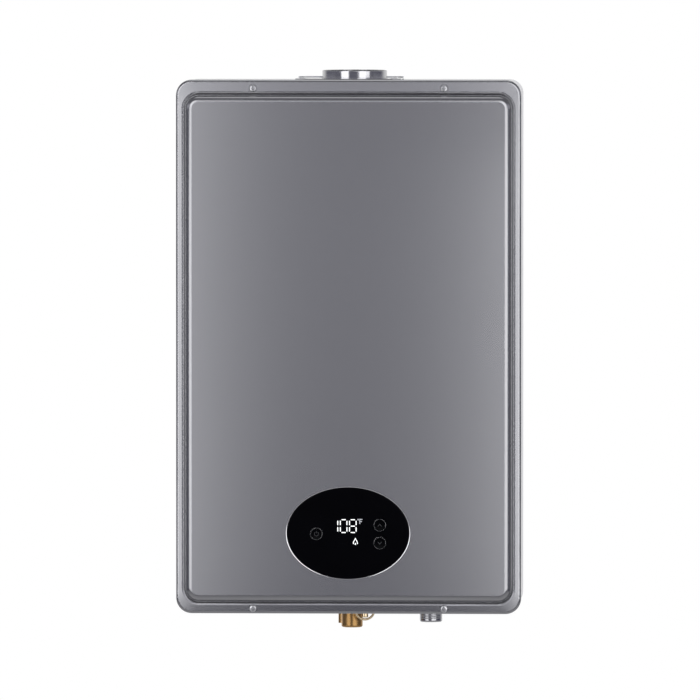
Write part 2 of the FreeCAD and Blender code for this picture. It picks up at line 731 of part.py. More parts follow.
def chamfered_plate(w, d, z0, z1):
    """A flat plate round the flue with its four corners cut."""
    cut = PLATE_CUT
    x0, x1 = PLATE_X - w / 2, PLATE_X + w / 2
    y0, y1 = FLUE_Y - d / 2, FLUE_Y + d / 2
    corners = [V(x0 + cut, y0, z0), V(x1 - cut, y0, z0), V(x1, y0 + cut, z0), V(x1, y1 - cut, z0),
               V(x1 - cut, y1, z0), V(x0 + cut, y1, z0), V(x0, y1 - cut, z0), V(x0, y0 + cut, z0)]
    face = Part.Face(Part.makePolygon(corners + corners[:1]))
    return face.extrude(V(0, 0, z1 - z0))


def flue_plate():
    z = TOP + FLUE_WALL
    plate = chamfered_plate(PLATE_W, PLATE_D, z, z + PLATE_T)
    hole_r = FLUE_R + PLATE_HOLE_GAP
    plate = plate.cut(rod(hole_r, V(FLUE_X, FLUE_Y, z - 1), V(FLUE_X, FLUE_Y, z + 4)))
    for seat in plate_bolt_seats(z):
        plate = plate.cut(rod(PLATE_BOLT_R + SCREW_GAP, seat + DOWN * 2, seat + UP * 4))
    return plate


def flue_collar():
    """Round outlet with a foot that the flue plate clamps and a rounded top edge."""
    foot = V(FLUE_X, FLUE_Y, TOP)
    top = foot + UP * FLUE_RISE
    tube = rod(FLUE_R, foot, top)
    tube = tube.makeFillet(0.5, edges_on_plane(tube, top, UP))
    tube = tube.fuse(rod(FLUE_R + FLUE_FLANGE, foot, foot + UP * FLUE_WALL))
    return tube.cut(rod(FLUE_R - FLUE_WALL, foot - UP, top + UP)).removeSplitter()


def flue_plate_screws():
    seat_z = TOP + FLUE_WALL + PLATE_T
    length = FLUE_WALL + PLATE_T + CASE_SHEET + FAN_SHEET + 3.0
    size = (PLATE_BOLT_R, length, PLATE_BOLT_HEAD_R, PLATE_BOLT_HEAD_T)
    return group([pan_screw(*size, seat, DOWN) for seat in plate_bolt_seats(seat_z)])


def scroll_outline(grow, y):
    """The fan's spiral: arcs of growing radius, then straight up the outlet duct."""
    s = SCROLL_STEP
    r1, r2, r3 = SCROLL_R + grow, SCROLL_R + s + grow, SCROLL_R + 2 * s + grow
    c1 = V(FAN_X, y, FAN_CZ)
    c2 = c1 + V(s, 0, 0)
    c3 = c2 + V(0, 0, s)
    x_left = FLUE_X - DUCT_W / 2 - grow
    x_right = c3.x + r3
    top = TOP - CASE_SHEET - FAN_SHEET
    lift = math.sqrt(r1 ** 2 - (x_left - c1.x) ** 2)
    corner = V(x_left, y, c1.z + lift)
    turn = math.atan2(lift, x_left - c1.x)
    mid1 = (turn + math.pi) / 2
    d = math.sqrt(0.5)
    left = V(c1.x - r1, y, c1.z)
    low = V(c2.x, y, c2.z - r2)
    right = V(x_right, y, c3.z)
    bend_z = c3.z + 26.0
    duct_right = FLUE_X + DUCT_W / 2 + grow
    edges = [
        Part.LineSegment(V(x_left, y, top), corner).toShape(),
        Part.Arc(corner, c1 + V(r1 * math.cos(mid1), 0, r1 * math.sin(mid1)), left).toShape(),
        Part.Arc(left, c2 + V(-r2 * d, 0, -r2 * d), low).toShape(),
        Part.Arc(low, c3 + V(r3 * d, 0, -r3 * d), right).toShape(),
        Part.LineSegment(right, V(duct_right, y, bend_z)).toShape(),
        Part.LineSegment(V(duct_right, y, bend_z), V(duct_right, y, top)).toShape(),
        Part.LineSegment(V(duct_right, y, top), V(x_left, y, top)).toShape(),
    ]
    return Part.Wire(edges)


def fan_housing():
    """Sheet scroll with its outlet flange under the case top, inlet at the rear, motor hole in front."""
    y0, y1 = FAN_BACK + FAN_SHEET, FAN_FRONT - FAN_SHEET
    outer = Part.Face(scroll_outline(FAN_SHEET, y0)).extrude(V(0, y1 - y0, 0))
    top = TOP - CASE_SHEET
    hollow = Part.Face(scroll_outline(0.0, FAN_BACK)).extrude(V(0, FAN_FRONT - FAN_BACK, 0))
    half_w, half_d = PLATE_W / 2 - 2, PLATE_D / 2 - 2
    flange = box(PLATE_X - half_w, PLATE_X + half_w, FLUE_Y - half_d, FLUE_Y + half_d, top - FAN_SHEET, top)
    housing = outer.fuse(flange)
    mouth = box(FLUE_X - DUCT_W / 2, FLUE_X + DUCT_W / 2, FLUE_Y - DUCT_W / 2, FLUE_Y + DUCT_W / 2,
                top - 4 * FAN_SHEET, top + 1)
    housing = housing.cut(hollow).cut(mouth)
    centre = V(FAN_X, 0, FAN_CZ)
    inlet = V(centre.x, FAN_BACK - 1, centre.z)
    housing = housing.cut(rod(INLET_R, inlet, V(centre.x, y0 + 1, centre.z)))
    eye = V(centre.x, FAN_FRONT + 1, centre.z)
    housing = housing.cut(rod(SHAFT_R + 3, V(centre.x, y1 - 1, centre.z), eye))
    for seat in plate_bolt_seats(top):
        housing = housing.cut(rod(PLATE_BOLT_R + FIT_GAP, seat + DOWN * 4, seat + UP * 2))
    for x, z in motor_bolt_places():
        housing = housing.cut(rod(MOTOR_BOLT_R + FIT_GAP, V(x, y1 - 1, z), V(x, FAN_FRONT + 1, z)))
    return housing


def motor_bolt_places():
    turns = [math.radians(a) for a in (30, 150, 270)]
    r = MOTOR_BOLT_CIRCLE
    return [(FAN_X + r * math.cos(t), FAN_CZ + r * math.sin(t)) for t in turns]


def fan_wheel():
    """Squirrel cage: a hub disc in front, a blade ring and a rim at the inlet side."""
    front = FAN_FRONT + WHEEL_SIDE_GAP
    back = FAN_BACK - WHEEL_SIDE_GAP
    centre = V(FAN_X, front, FAN_CZ)
    disc = rod(WHEEL_R, centre, centre + REAR * WHEEL_DISC_T)
    hub = rod(HUB_R, centre, centre + REAR * HUB_L)
    rim_start = V(FAN_X, back - WHEEL_DISC_T, FAN_CZ)
    rim = ring(WHEEL_R, WHEEL_R - BLADE_W - 1, rim_start, rim_start + REAR * WHEEL_DISC_T)
    wheel = disc.fuse(hub).fuse(rim)
    blade = Part.makeBox(BLADE_W, back - front, BLADE_T, V(WHEEL_R - BLADE_W - 0.7, front, -BLADE_T / 2))
    blade.rotate(V(WHEEL_R - BLADE_W / 2 - 0.5, 0, 0), V(0, 1, 0), 28)
    blades = []
    for i in range(WHEEL_BLADES):
        one = blade.copy()
        one.rotate(V(0, 0, 0), V(0, 1, 0), 360.0 * i / WHEEL_BLADES)
        one.translate(V(FAN_X, 0, FAN_CZ))
        blades.append(one)
    wheel = wheel.multiFuse(blades)
    return wheel.cut(rod(SHAFT_R, centre + FRONT, centre + REAR * (HUB_L + 4.0)))


def fan_shaft():
    """Turns with the wheel and runs into the motor's bearing."""
    front = V(FAN_X, FAN_FRONT - FAN_SHEET - MOTOR_L * 0.6, FAN_CZ)
    return rod(SHAFT_R, front, V(FAN_X, FAN_FRONT + WHEEL_SIDE_GAP + HUB_L, FAN_CZ))


def fan_motor():
    """Round motor with a flange on the housing's front and a blind bearing bore for the shaft."""
    base = V(FAN_X, FAN_FRONT - FAN_SHEET, FAN_CZ)
    body = rod(MOTOR_R - MOTOR_RIM, base, base + FRONT * MOTOR_L)
    body = body.makeFillet(3.0, edges_on_plane(body, base + FRONT * MOTOR_L, FRONT))
    body = body.fuse(rod(MOTOR_R, base, base + FRONT * MOTOR_FLANGE))
    body = body.fuse(rod(HUB_R, base + FRONT * MOTOR_L, base + FRONT * (MOTOR_L + 3)))
    body = body.cut(rod(SHAFT_R + RUNNING_GAP, base + REAR, base + FRONT * (MOTOR_L * 0.6 + FACE_GAP)))
    for x, z in motor_bolt_places():
        seat = V(x, base.y - MOTOR_FLANGE, z)
        body = body.cut(rod(MOTOR_BOLT_R + FIT_GAP, V(x, base.y + 1, z), seat))
        body = body.cut(rod(MOTOR_BOLT_HEAD_R + 0.6, seat, seat + FRONT * 3.5))
    return body


def fan_screws():
    y = FAN_FRONT - FAN_SHEET - MOTOR_FLANGE
    size = (MOTOR_BOLT_R, MOTOR_FLANGE + FAN_SHEET + 1.5, MOTOR_BOLT_HEAD_R, MOTOR_BOLT_HEAD_T)
    return group([pan_screw(*size, V(x, y, z), REAR) for x, z in motor_bolt_places()])


def exhaust_hood():
    """Gathers the flue gas over the heat exchanger and leads it up behind the fan to its inlet."""
    t = CORE_SHEET
    z0, z1 = EXCHANGER_TOP, EXCHANGER_TOP + HOOD_H
    y0, y1 = CORE_BACK_Y, CORE_FRONT_Y
    low = box(-CORE_W / 2, CORE_W / 2, y0, y1, z0, z1)
    low_in = box(-CORE_W / 2 + t, CORE_W / 2 - t, y0 - t, y1 + t, z0 - 1, z1 - t)
    tall_top = FAN_CZ + HOOD_ABOVE_FAN
    tall_front = FAN_BACK + FAN_SHEET
    tall = box(HOOD_BOX_X0, HOOD_BOX_X1, HOOD_BACK, tall_front, z1 - t, tall_top)
    tall_in = box(HOOD_BOX_X0 + t, HOOD_BOX_X1 - t, HOOD_BACK - t, tall_front + t, z1 - 2 * t, tall_top - t)
    hood = low.fuse(tall).cut(low_in).cut(tall_in)
    hole = rod(INLET_R, V(FAN_X, tall_front - 1, FAN_CZ), V(FAN_X, tall_front + t + 1, FAN_CZ))
    return hood.cut(hole)


def frame_of_sheet(z0, z1, flange_at=None):
    """Four upright walls round the gas path, one sheet thick."""
    t = CORE_SHEET
    y0, y1 = CORE_BACK_Y, CORE_FRONT_Y
    outer = box(-CORE_W / 2, CORE_W / 2, y0, y1, z0, z1)
    walls = outer.cut(box(-CORE_W / 2 + t, CORE_W / 2 - t, y0 - t, y1 + t, z0 - 1, z1 + 1))
    for z in flange_at or ():
        rim = box(-CORE_W / 2 - FLANGE_EDGE, CORE_W / 2 + FLANGE_EDGE, y0 + 5, y1 - FLANGE_EDGE, z, z + t)
        rim = rim.cut(box(-CORE_W / 2 + t, CORE_W / 2 - t, y0 - t, y1 + t, z - 1, z + t + 1))
        walls = walls.fuse(rim)
    return walls


def tube_ys():
    """Depth of each straight pass of the heat exchanger's tube."""
    first = CORE_Y + TUBE_PITCH * (TUBE_PASSES - 1) / 2
    return [first - TUBE_PITCH * i for i in range(TUBE_PASSES)]


def heat_exchanger_shell():
    shell = frame_of_sheet(CHAMBER_TOP, EXCHANGER_TOP, (CHAMBER_TOP, EXCHANGER_TOP - CORE_SHEET))
    for y in tube_ys():
        shell = shell.cut(rod(TUBE_R + FIT_GAP, V(-CORE_W, y, TUBE_Z), V(CORE_W, y, TUBE_Z)))
    return shell


def heat_exchanger_fins():
    """Copper plates across the gas path, each pierced by the tube's passes."""
    fins = []
    span = CORE_W - 2 * CORE_SHEET - 12.0
    depth = CORE_D - 2 * CORE_SHEET - 2 * FACE_GAP
    hole_r = TUBE_R + RUNNING_GAP
    holes = group([rod(hole_r, V(-CORE_W, y, TUBE_Z), V(CORE_W, y, TUBE_Z)) for y in tube_ys()])
    for i in range(FIN_COUNT):
        x = -span / 2 + span * i / (FIN_COUNT - 1)
        fin = box(x - FIN_T / 2, x + FIN_T / 2, CORE_Y + depth / 2, CORE_Y - depth / 2,
                  TUBE_Z - FIN_H / 2, TUBE_Z + FIN_H / 2)
        fins.append(fin.cut(holes))
    return group(fins)


def heat_exchanger_tube():
    """One tube that runs to and fro through the fins with return bends outside the shell."""
    ys = tube_ys()
    end = CORE_W / 2 + TUBE_OUT / 2
    bend = TUBE_PITCH / 2
    edges = []
    x_from = -TUBE_END
    for i, y in enumerate(ys):
        side = 1 if i % 2 == 0 else -1
        last = i == len(ys) - 1
        x_to = side * (TUBE_END if last else end)
        edges.append(Part.LineSegment(V(x_from, y, TUBE_Z), V(x_to, y, TUBE_Z)).toShape())
        if not last:
            edges.append(Part.Arc(V(x_to, y, TUBE_Z), V(x_to + side * bend, y - bend, TUBE_Z),
                                  V(x_to, ys[i + 1], TUBE_Z)).toShape())
        x_from = x_to
    path = Part.Wire(edges)
    start, along = V(-TUBE_END, ys[0], TUBE_Z), V(1, 0, 0)
    return swept(path, TUBE_R, start, along).cut(swept(path, TUBE_R - PIPE_WALL, start, along))


def combustion_chamber():
    return frame_of_sheet(BURNER_TOP, CHAMBER_TOP, (BURNER_TOP, CHAMBER_TOP - CORE_SHEET))


def burner_box():
    """Steel tray, open at the top, slotted below for air, with a gap in front for the jets."""
    t = CORE_SHEET
    walls = frame_of_sheet(BURNER_FLOOR, BURNER_TOP, (BURNER_TOP - t,))
    y0, y1 = CORE_BACK_Y, CORE_FRONT_Y
    floor = box(-CORE_W / 2, CORE_W / 2, y0, y1, BURNER_FLOOR, BURNER_FLOOR + t)
    tray = walls.fuse(floor)
    for x in bar_xs():
        tray = tray.cut(rod(NOZZLE_R + 1.0, V(x, y1 - 1, JET_Z), V(x, y1 + t + 1, JET_Z)))
    for i in range(12):
        x = -110.0 + 20.0 * i
        tray = tray.cut(box(x - 4, x + 4, CORE_Y - 30, CORE_Y + 30, BURNER_FLOOR - 1, BURNER_FLOOR + t + 1))
    return tray


def bar_xs():
    span = CORE_W - 2 * CORE_SHEET - BAR_T - 6.0
    return [-span / 2 + span * i / (BURNER_BARS - 1) for i in range(BURNER_BARS)]


def burner_bars():
    """Row of flat burner blades, each with an inlet bell in front and a slotted top."""
    bars = []
    y_back = CORE_BACK_Y - CORE_SHEET - FACE_GAP
    y_front = CORE_FRONT_Y + CORE_SHEET + 8.0
    floor = BURNER_FLOOR + CORE_SHEET
    for x in bar_xs():
        bar = box(x - BAR_T / 2, x + BAR_T / 2, y_back, y_front, floor, floor + BAR_H)
        waist0, waist1 = floor + BAR_H * 0.55, floor + BAR_H - 12
        bar = bar.cut(box(x - BAR_T / 2 - 1, x - 2.5, y_back + 1, y_front - 1, waist0, waist1))
        bar = bar.cut(box(x + 2.5, x + BAR_T / 2 + 1, y_back + 1, y_front - 1, waist0, waist1))
        bar = bar.cut(Part.makeCone(5.0, 3.0, 14.0, V(x, y_front, JET_Z), REAR))
        for i in range(7):
            y = y_front + 8.0 + i * 10.0
            bar = bar.cut(box(x - 4, x + 4, y, y + 3, floor + BAR_H - 4, floor + BAR_H + 1))
        bars.append(bar)
    return group(bars)


def gas_manifold():
    """Square bar with a long gas way and a jet hole in front of each burner bar."""
    y0 = MANIFOLD_BACK
    y1 = y0 - MANIFOLD_D
    half = CORE_W / 2 - 4.0
    bar = box(-half, half, y0, y1, JET_Z - MANIFOLD_H / 2, JET_Z + MANIFOLD_H / 2)
    cy = (y0 + y1) / 2
    bar = bar.cut(rod(4.0, V(-half + 6, cy, JET_Z), V(half - 6, cy, JET_Z)))
    bar = bar.cut(rod(GAS_PIPE_R - 2, V(GAS_X, cy, JET_Z - MANIFOLD_H), V(GAS_X, cy, JET_Z)))
    for x in bar_xs():
        bar = bar.cut(rod(NOZZLE_R - 1.0, V(x, cy, JET_Z), V(x, y0 + 1, JET_Z)))
    return bar


def gas_nozzles():
    """Brass jets pressed into the manifold, one in front of each burner bar."""
    y0 = MANIFOLD_BACK
    jets = []
    for x in bar_xs():
        base = V(x, y0, JET_Z)
        jet = rod(NOZZLE_R, base, base + REAR * 5.0)
        jet = jet.fuse(rod(NOZZLE_R - 1.0 - RUNNING_GAP, base + FRONT * 3.0, base))
        jet = jet.cut(rod(0.7, base + FRONT * 4.0, base + REAR * 6.0))
        jets.append(jet)
    return group(jets)


def electrode(x, lean, length):
    """Ceramic sleeve with a wire that bends over the burner's top."""
    y_wall = CORE_FRONT_Y
    z = BURNER_TOP + ELECTRODE_RISE
    sleeve = rod(ELECTRODE_R, V(x, y_wall - 18.0, z), V(x, y_wall + 6.0, z))
    wire = rod(1.0, V(x, y_wall + 6.0, z), V(x + lean, y_wall + 6.0 + length, z - 4.0))
    return sleeve.fuse(wire)


def ignition_electrodes():
    return group([electrode(x, 3.0 if x < -20 else -3.0, 16.0) for x in ELECTRODE_XS])


def flame_sensor():
    return electrode(FLAME_SENSOR_X, 0.0, 24.0)


def chamber_front_holes(chamber):
    """Openings in the chamber's front wall for the electrode sleeves."""
    y_wall = CORE_FRONT_Y
    for x in (*ELECTRODE_XS, FLAME_SENSOR_X):
        at = V(x, y_wall - 2, BURNER_TOP + ELECTRODE_RISE)
        chamber = chamber.cut(rod(ELECTRODE_R + RUNNING_GAP, at, at + REAR * 5))
    return chamber


def gas_inlet_fitting():
    """Steel union: male thread below the case, a hexagon above its floor."""
    low = V(GAS_X, PIPE_Y, BOTTOM - GAS_DROP)
    thread_top = V(GAS_X, PIPE_Y, BOTTOM - RELIEF_L)
    body = rod(GAS_THREAD_R, low, thread_top)
    body = body.makeFillet(1.8, edges_on_plane(body, low, DOWN))
    body = body.fuse(rod(GAS_THREAD_R - THREAD_RELIEF, thread_top, V(GAS_X, PIPE_Y, FLOOR + 1)))
    body = body.fuse(hexagon(HEX_AF, GAS_X, PIPE_Y, FLOOR, FLOOR + HEX_H))
    body = body.fuse(rod(GAS_THREAD_R, V(GAS_X, PIPE_Y, FLOOR + HEX_H), V(GAS_X, PIPE_Y, VALVE_Z0)))
    return body.cut(rod(GAS_BORE_R, low - UP, V(GAS_X, PIPE_Y, VALVE_Z0 + 1)))


def gas_valve_body():
    """Cast block with a gas way up through it and a side boss for the pressure tap."""
    y0, y1 = PIPE_Y + VALVE_D / 2, PIPE_Y - VALVE_D / 2
    block = slab(VALVE_W, VALVE_Z0, VALVE_Z0 + VALVE_H, y0, y1, 4.0, GAS_X)
    side = V(GAS_X - VALVE_W / 2, PIPE_Y, VALVE_Z0 + VALVE_H * 0.31)
    tap = rod(5.0, side, side - V(7, 0, 0))
    block = block.fuse(tap)
    way = rod(GAS_BORE_R, V(GAS_X, PIPE_Y, VALVE_Z0 - 1), V(GAS_X, PIPE_Y, VALVE_Z0 + VALVE_H + 1))
    return block.cut(way)


def gas_valve_coils():
    """Two solenoid coils on the valve's front."""
    coils = []
    y0 = PIPE_Y - VALVE_D / 2
    for share in (0.27, 0.73):
        base = V(GAS_X, y0, VALVE_Z0 + VALVE_H * share)
        coil = rod(11.0, base, base + FRONT * 22.0)
        coil = coil.fuse(rod(4.0, base + FRONT * 22.0, base + FRONT * 26.0))
        coils.append(coil)
    return group(coils)


def gas_pipe():
    """From the valve's top forward and up into the manifold's underside."""
    cy = MANIFOLD_Y
    start = V(GAS_X, PIPE_Y, VALVE_Z0 + VALVE_H)
    points = [start, start + UP * GAS_PIPE_RISE, V(GAS_X, cy, start.z + 2 * GAS_PIPE_RISE),
              V(GAS_X, cy, JET_Z - MANIFOLD_H / 2)]
    return rounded_pipe(points, GAS_PIPE_R, GAS_PIPE_BEND)


def water_inlet_fitting():
    """Brass body: male thread and hexagon below, drain branch in front, a plain boss behind on the left."""
    low = V(COLD_X, PIPE_Y, BOTTOM - COLD_DROP)
    thread_top = V(COLD_X, PIPE_Y, BOTTOM - RELIEF_L)
    body = rod(COLD_THREAD_R, low, thread_top)
    body = body.makeFillet(2.2, edges_on_plane(body, low, DOWN))
    body = body.fuse(rod(COLD_THREAD_R - THREAD_RELIEF, thread_top, V(COLD_X, PIPE_Y, FLOOR)))
    body = body.fuse(hexagon(HEX_AF, COLD_X, PIPE_Y, FLOOR, FLOOR + HEX_H))
    body = body.fuse(rod(SENSOR_R, V(COLD_X, PIPE_Y, FLOOR + HEX_H), V(COLD_X, PIPE_Y, SENSOR_Z0)))
    boss = V(COLD_X - REAR_BOSS_SIDE, PIPE_Y + REAR_BOSS_BACK, BOTTOM - REAR_BOSS_DROP)
    body = body.fuse(rod(REAR_BOSS_R, boss, V(boss.x, boss.y, FLOOR + HEX_H)))
    branch = V(DRAIN_X, DRAIN_Y, FLOOR)
    body = body.fuse(rod(DRAIN_BODY_R, branch, branch + UP * DRAIN_BODY_H))
    link_z = FLOOR + DRAIN_BODY_H - 6.0
    middle = V(COLD_X, PIPE_Y, link_z)
    body = body.fuse(rod(4.0, middle, V(DRAIN_X, DRAIN_Y, link_z)))
    body = body.cut(rod(COLD_BORE_R, low - UP, V(COLD_X, PIPE_Y, SENSOR_Z0 + 1)))
    body = body.cut(rod(2.0, middle, V(DRAIN_X, DRAIN_Y, link_z)))
    return body.cut(rod(DRAIN_R + RUNNING_GAP, branch - UP, branch + UP * (DRAIN_BODY_H - 3.0)))


def inlet_filter():
    """Cup-shaped strainer that sits in the cold inlet's bore."""
    low = V(COLD_X, PIPE_Y, BOTTOM - COLD_DROP + 3.0)
    r, wall, height = COLD_BORE_R - FIT_GAP, 1.2, 16.0
    cup = rod(r, low, low + UP * height)
    cup = cup.cut(rod(r - wall, low - UP, low + UP * (height - wall)))
    for i in range(6):
        slot = box(-1.2, 1.2, 0, r + 1, low.z + 3.0, low.z + height - 4.0)
        slot.rotate(V(0, 0, 0), V(0, 0, 1), 60.0 * i)
        slot.translate(V(COLD_X, PIPE_Y, 0))
        cup = cup.cut(slot)
    return cup


def drain_plug():
    """Brass plug in the branch, with a D-shaped wire handle below the case."""
    def at(side, z):
        turn = math.radians(DRAIN_HANDLE_TURN)
        return V(DRAIN_X + side * math.cos(turn), DRAIN_Y + side * math.sin(turn), z)

    knob_low = BOTTOM - DRAIN_DROP + 3.6
    bar_z = BOTTOM - FACE_GAP - 2 * DRAIN_WIRE_R
    half = DRAIN_HANDLE_W / 2 - DRAIN_WIRE_R
    plug = rod(DRAIN_R, at(0, bar_z), at(0, FLOOR + DRAIN_BODY_H - 5.0))
    plug = plug.fuse(rod(DRAIN_NECK_R - FACE_GAP, at(0, bar_z), at(0, FLOOR - FACE_GAP)))
    knob = rod(DRAIN_R - 0.4, at(0, knob_low), at(0, bar_z))
    plug = plug.fuse(knob.makeFillet(1.2, edges_on_plane(knob, at(0, knob_low), DOWN)))
    left, right = at(-half, bar_z), at(half, bar_z)
    lowest = at(0, BOTTOM - DRAIN_DROP + DRAIN_WIRE_R)
    arc = Part.Arc(left, lowest, right)
    loop = swept(Part.Wire([arc.toShape()]), DRAIN_WIRE_R, left, arc.tangent(arc.FirstParameter)[0])
    plug = plug.fuse(loop).fuse(rod(DRAIN_WIRE_R, left, right))
    for end in (left, right):
        plug = plug.fuse(Part.makeSphere(DRAIN_WIRE_R, end))
    groove = at(0, FLOOR + SEAL_RISE)
    depth = 2 * SEAL_R + 2 * RUNNING_GAP
    return plug.cut(ring(DRAIN_R + 1, DRAIN_R - depth, groove, groove + UP * (depth + RUNNING_GAP)))


def drain_plug_seal():
    """O-ring in the plug's groove."""
    depth = 2 * SEAL_R + 2 * RUNNING_GAP
    centre = V(DRAIN_X, DRAIN_Y, FLOOR + SEAL_RISE + (depth + RUNNING_GAP) / 2)
    return Part.makeTorus(DRAIN_R - depth + RUNNING_GAP + SEAL_R, SEAL_R, centre, UP)


def flow_sensor_body():
    """Round chamber above the inlet with the rotor's bearing cross inside and a cable block outside."""
    low = V(COLD_X, PIPE_Y, SENSOR_Z0)
    body = rod(SENSOR_R, low, low + UP * SENSOR_H)
    body = body.fuse(box(COLD_X - 9, COLD_X + 9, PIPE_Y - SENSOR_R - 6, PIPE_Y, low.z + 14, low.z + 32))
    body = body.cut(rod(ROTOR_R + 1.0, low + UP * 8, low + UP * 38))
    body = body.cut(rod(COLD_BORE_R, low - UP, low + UP * (SENSOR_H + 1)))
    for z in (10.0, 34.0):
        for turn in (0, 90):
            bar = box(-ROTOR_R - 2, ROTOR_R + 2, -1.0, 1.0, low.z + z, low.z + z + 2.0)
            bar.rotate(V(0, 0, 0), V(0, 0, 1), turn)
            bar.translate(V(COLD_X, PIPE_Y, 0))
            body = body.fuse(bar)
        hub = rod(3.0, low + UP * z, low + UP * (z + 2.0))
        body = body.fuse(hub)
        body = body.cut(rod(ROTOR_PIN_R + RUNNING_GAP, low + UP * (z - 1), low + UP * (z + 3.0)))
    return body


def flow_sensor_rotor():
    """Small turbine on a pin that turns in the body's two bearing crosses."""
    low = V(COLD_X, PIPE_Y, SENSOR_Z0)
    pin = rod(ROTOR_PIN_R, low + UP * 10.5, low + UP * 35.5)
    hub = rod(3.2, low + UP * 14.0, low + UP * (14.0 + ROTOR_H + 4.0))
    rotor = pin.fuse(hub)
    for i in range(6):
        blade = box(0, ROTOR_R, -0.7, 0.7, low.z + 16.0, low.z + 16.0 + ROTOR_H)
        blade.rotate(V(0, 0, low.z + 16.0 + ROTOR_H / 2), V(1, 0, 0), 20)
        blade.rotate(V(0, 0, 0), V(0, 0, 1), 60.0 * i)
        blade.translate(V(COLD_X, PIPE_Y, 0))
        keep = rod(ROTOR_R, low + UP * 14.5, low + UP * (17.5 + ROTOR_H))
        rotor = rotor.fuse(blade.common(keep))
    return rotor


def cold_water_pipe():
    """From the flow sensor to the left and up to the heat exchanger's rear pass."""
    start = V(COLD_X, PIPE_Y, SENSOR_Z0 + SENSOR_H)
    points = [start, V(COLD_X, PIPE_Y, RUN_Z), V(COLD_X - 40.0, tube_ys()[0], RUN_Z),
              V(RISE_X, tube_ys()[0], RUN_Z), V(RISE_X, tube_ys()[0], TUBE_Z),
              V(-TUBE_END, tube_ys()[0], TUBE_Z)]
    return rounded_pipe(points, PIPE_R, PIPE_BEND)


def hot_water_pipe():
    """From the heat exchanger's front pass down to the hot outlet."""
    x = RISE_X
    z = BOTTOM + HOT_PIPE_RISE
    start = V(-TUBE_END, tube_ys()[-1], TUBE_Z)
    points = [start, V(x, tube_ys()[-1], TUBE_Z), V(x, tube_ys()[-1], z), V(HOT_X, -HOT_BACK, z),
              V(HOT_X, -HOT_BACK, HOT_BODY_TOP)]
    return rounded_pipe(points, PIPE_R, PIPE_BEND)


def hot_outlet_fitting():
    """Brass socket with an inner thread; its mouth is just below the case."""
    y = -HOT_BACK
    low = BOTTOM - HOT_DROP
    r = HOT_BORE_R + HOT_SOCKET_WALL
    body = rod(r, V(HOT_X, y, low), V(HOT_X, y, FLOOR))
    body = body.fuse(hexagon(2 * r + 6.0, HOT_X, y, FLOOR, FLOOR + HEX_H + 3.0))
    body = body.fuse(rod(PIPE_R + 4.0, V(HOT_X, y, FLOOR + HEX_H), V(HOT_X, y, HOT_BODY_TOP)))
    body = body.cut(rod(HOT_BORE_R, V(HOT_X, y, low - 1), V(HOT_X, y, low + HOT_BORE_L)))
    return body.cut(rod(PIPE_R - PIPE_WALL, V(HOT_X, y, low), V(HOT_X, y, HOT_BODY_TOP + 1)))


def temperature_sensor():
    """Clip-on sensor on the hot pipe's upright run."""
    z = BOTTOM + 200.0
    at = V(RISE_X, tube_ys()[-1], z)
    clip = ring(PIPE_R + 1.6, PIPE_R + RUNNING_GAP, at, at + UP * 14)
    clip = clip.cut(box(at.x - 3, at.x + 3, at.y - 20, at.y, z - 1, z + 15))
    bulb = rod(4.0, at + V(0, PIPE_R + 4.5, 0), at + V(0, PIPE_R + 4.5, 14))
    return clip.fuse(bulb)


def overheat_switch():
    """Round thermostat on the heat exchanger's front wall."""
    y = CORE_FRONT_Y
    at = V(70.0, y, TUBE_Z)
    body = rod(8.0, at, at + FRONT * 8.0)
    for dx in (-3.0, 3.0):
        body = body.fuse(box(at.x + dx - 1.5, at.x + dx + 1.5, y - 8.0, y - 15.0, at.z - 0.4, at.z + 0.4))
    return body


def air_pressure_switch():
    """Flat round switch on the case's back, beside the fan."""
    at = V(CASE_W / 2 - AIR_SWITCH_SIDE, INSIDE_BACK, FAN_CZ)
    face = at + FRONT * AIR_SWITCH_T
    cap = face + FRONT * AIR_SWITCH_CAP
    body = rod(AIR_SWITCH_R, at, face).fuse(rod(AIR_SWITCH_CAP_R, face, cap))
    return body.fuse(rod(AIR_SWITCH_PORT_R, cap, cap + FRONT * AIR_SWITCH_T))


def control_box():
    """Plastic tray on the case's back at the lower right, and the lid that closes its front."""
    front = INSIDE_BACK - BOX_DEPTH
    tray = box(BOX_X0, BOX_X1, INSIDE_BACK, front, BOX_Z0, BOX_Z1)
    hollow = box(BOX_X0 + BOX_WALL, BOX_X1 - BOX_WALL, INSIDE_BACK - BOX_WALL, front - 1,
                 BOX_Z0 + BOX_WALL, BOX_Z1 - BOX_WALL)
    lid = box(BOX_X0, BOX_X1, front, front - BOX_WALL, BOX_Z0, BOX_Z1)
    edge = BOX_WALL + FIT_GAP
    rib = box(BOX_X0 + edge, BOX_X1 - edge, front, front + 3.0, BOX_Z0 + edge, BOX_Z1 - edge)
    edge = 2 * BOX_WALL + 1
    core = box(BOX_X0 + edge, BOX_X1 - edge, front, front + 4.0, BOX_Z0 + edge, BOX_Z1 - edge)
    return group([tray.cut(hollow), lid.fuse(rib.cut(core))])


def control_board():
    """Circuit board with a relay and two capacitors, on the tray's floor."""
    y = INSIDE_BACK - BOX_WALL
    x0, x1 = BOX_X0 + BOX_WALL + 2, BOX_X1 - BOX_WALL - 2
    z0, z1 = BOX_Z0 + BOX_WALL + 2, BOX_Z1 - BOX_WALL - 2
    board = box(x0, x1, y - 4.0, y - 5.6, z0, z1)
    for x in (x0 + 4, x1 - 4):
        for z in (z0 + 4, z1 - 4):
            board = board.fuse(rod(2.0, V(x, y, z), V(x, y - 4.0, z)))
    board = board.fuse(box(x0 + 8, x0 + 26, y - 5.6, y - 22.0, z0 + 10, z0 + 28))
    for z in (z1 - 16, z1 - 34):
        board = board.fuse(rod(6.0, V(x1 - 12, y - 5.6, z), V(x1 - 12, y - 26.0, z)))
    return board


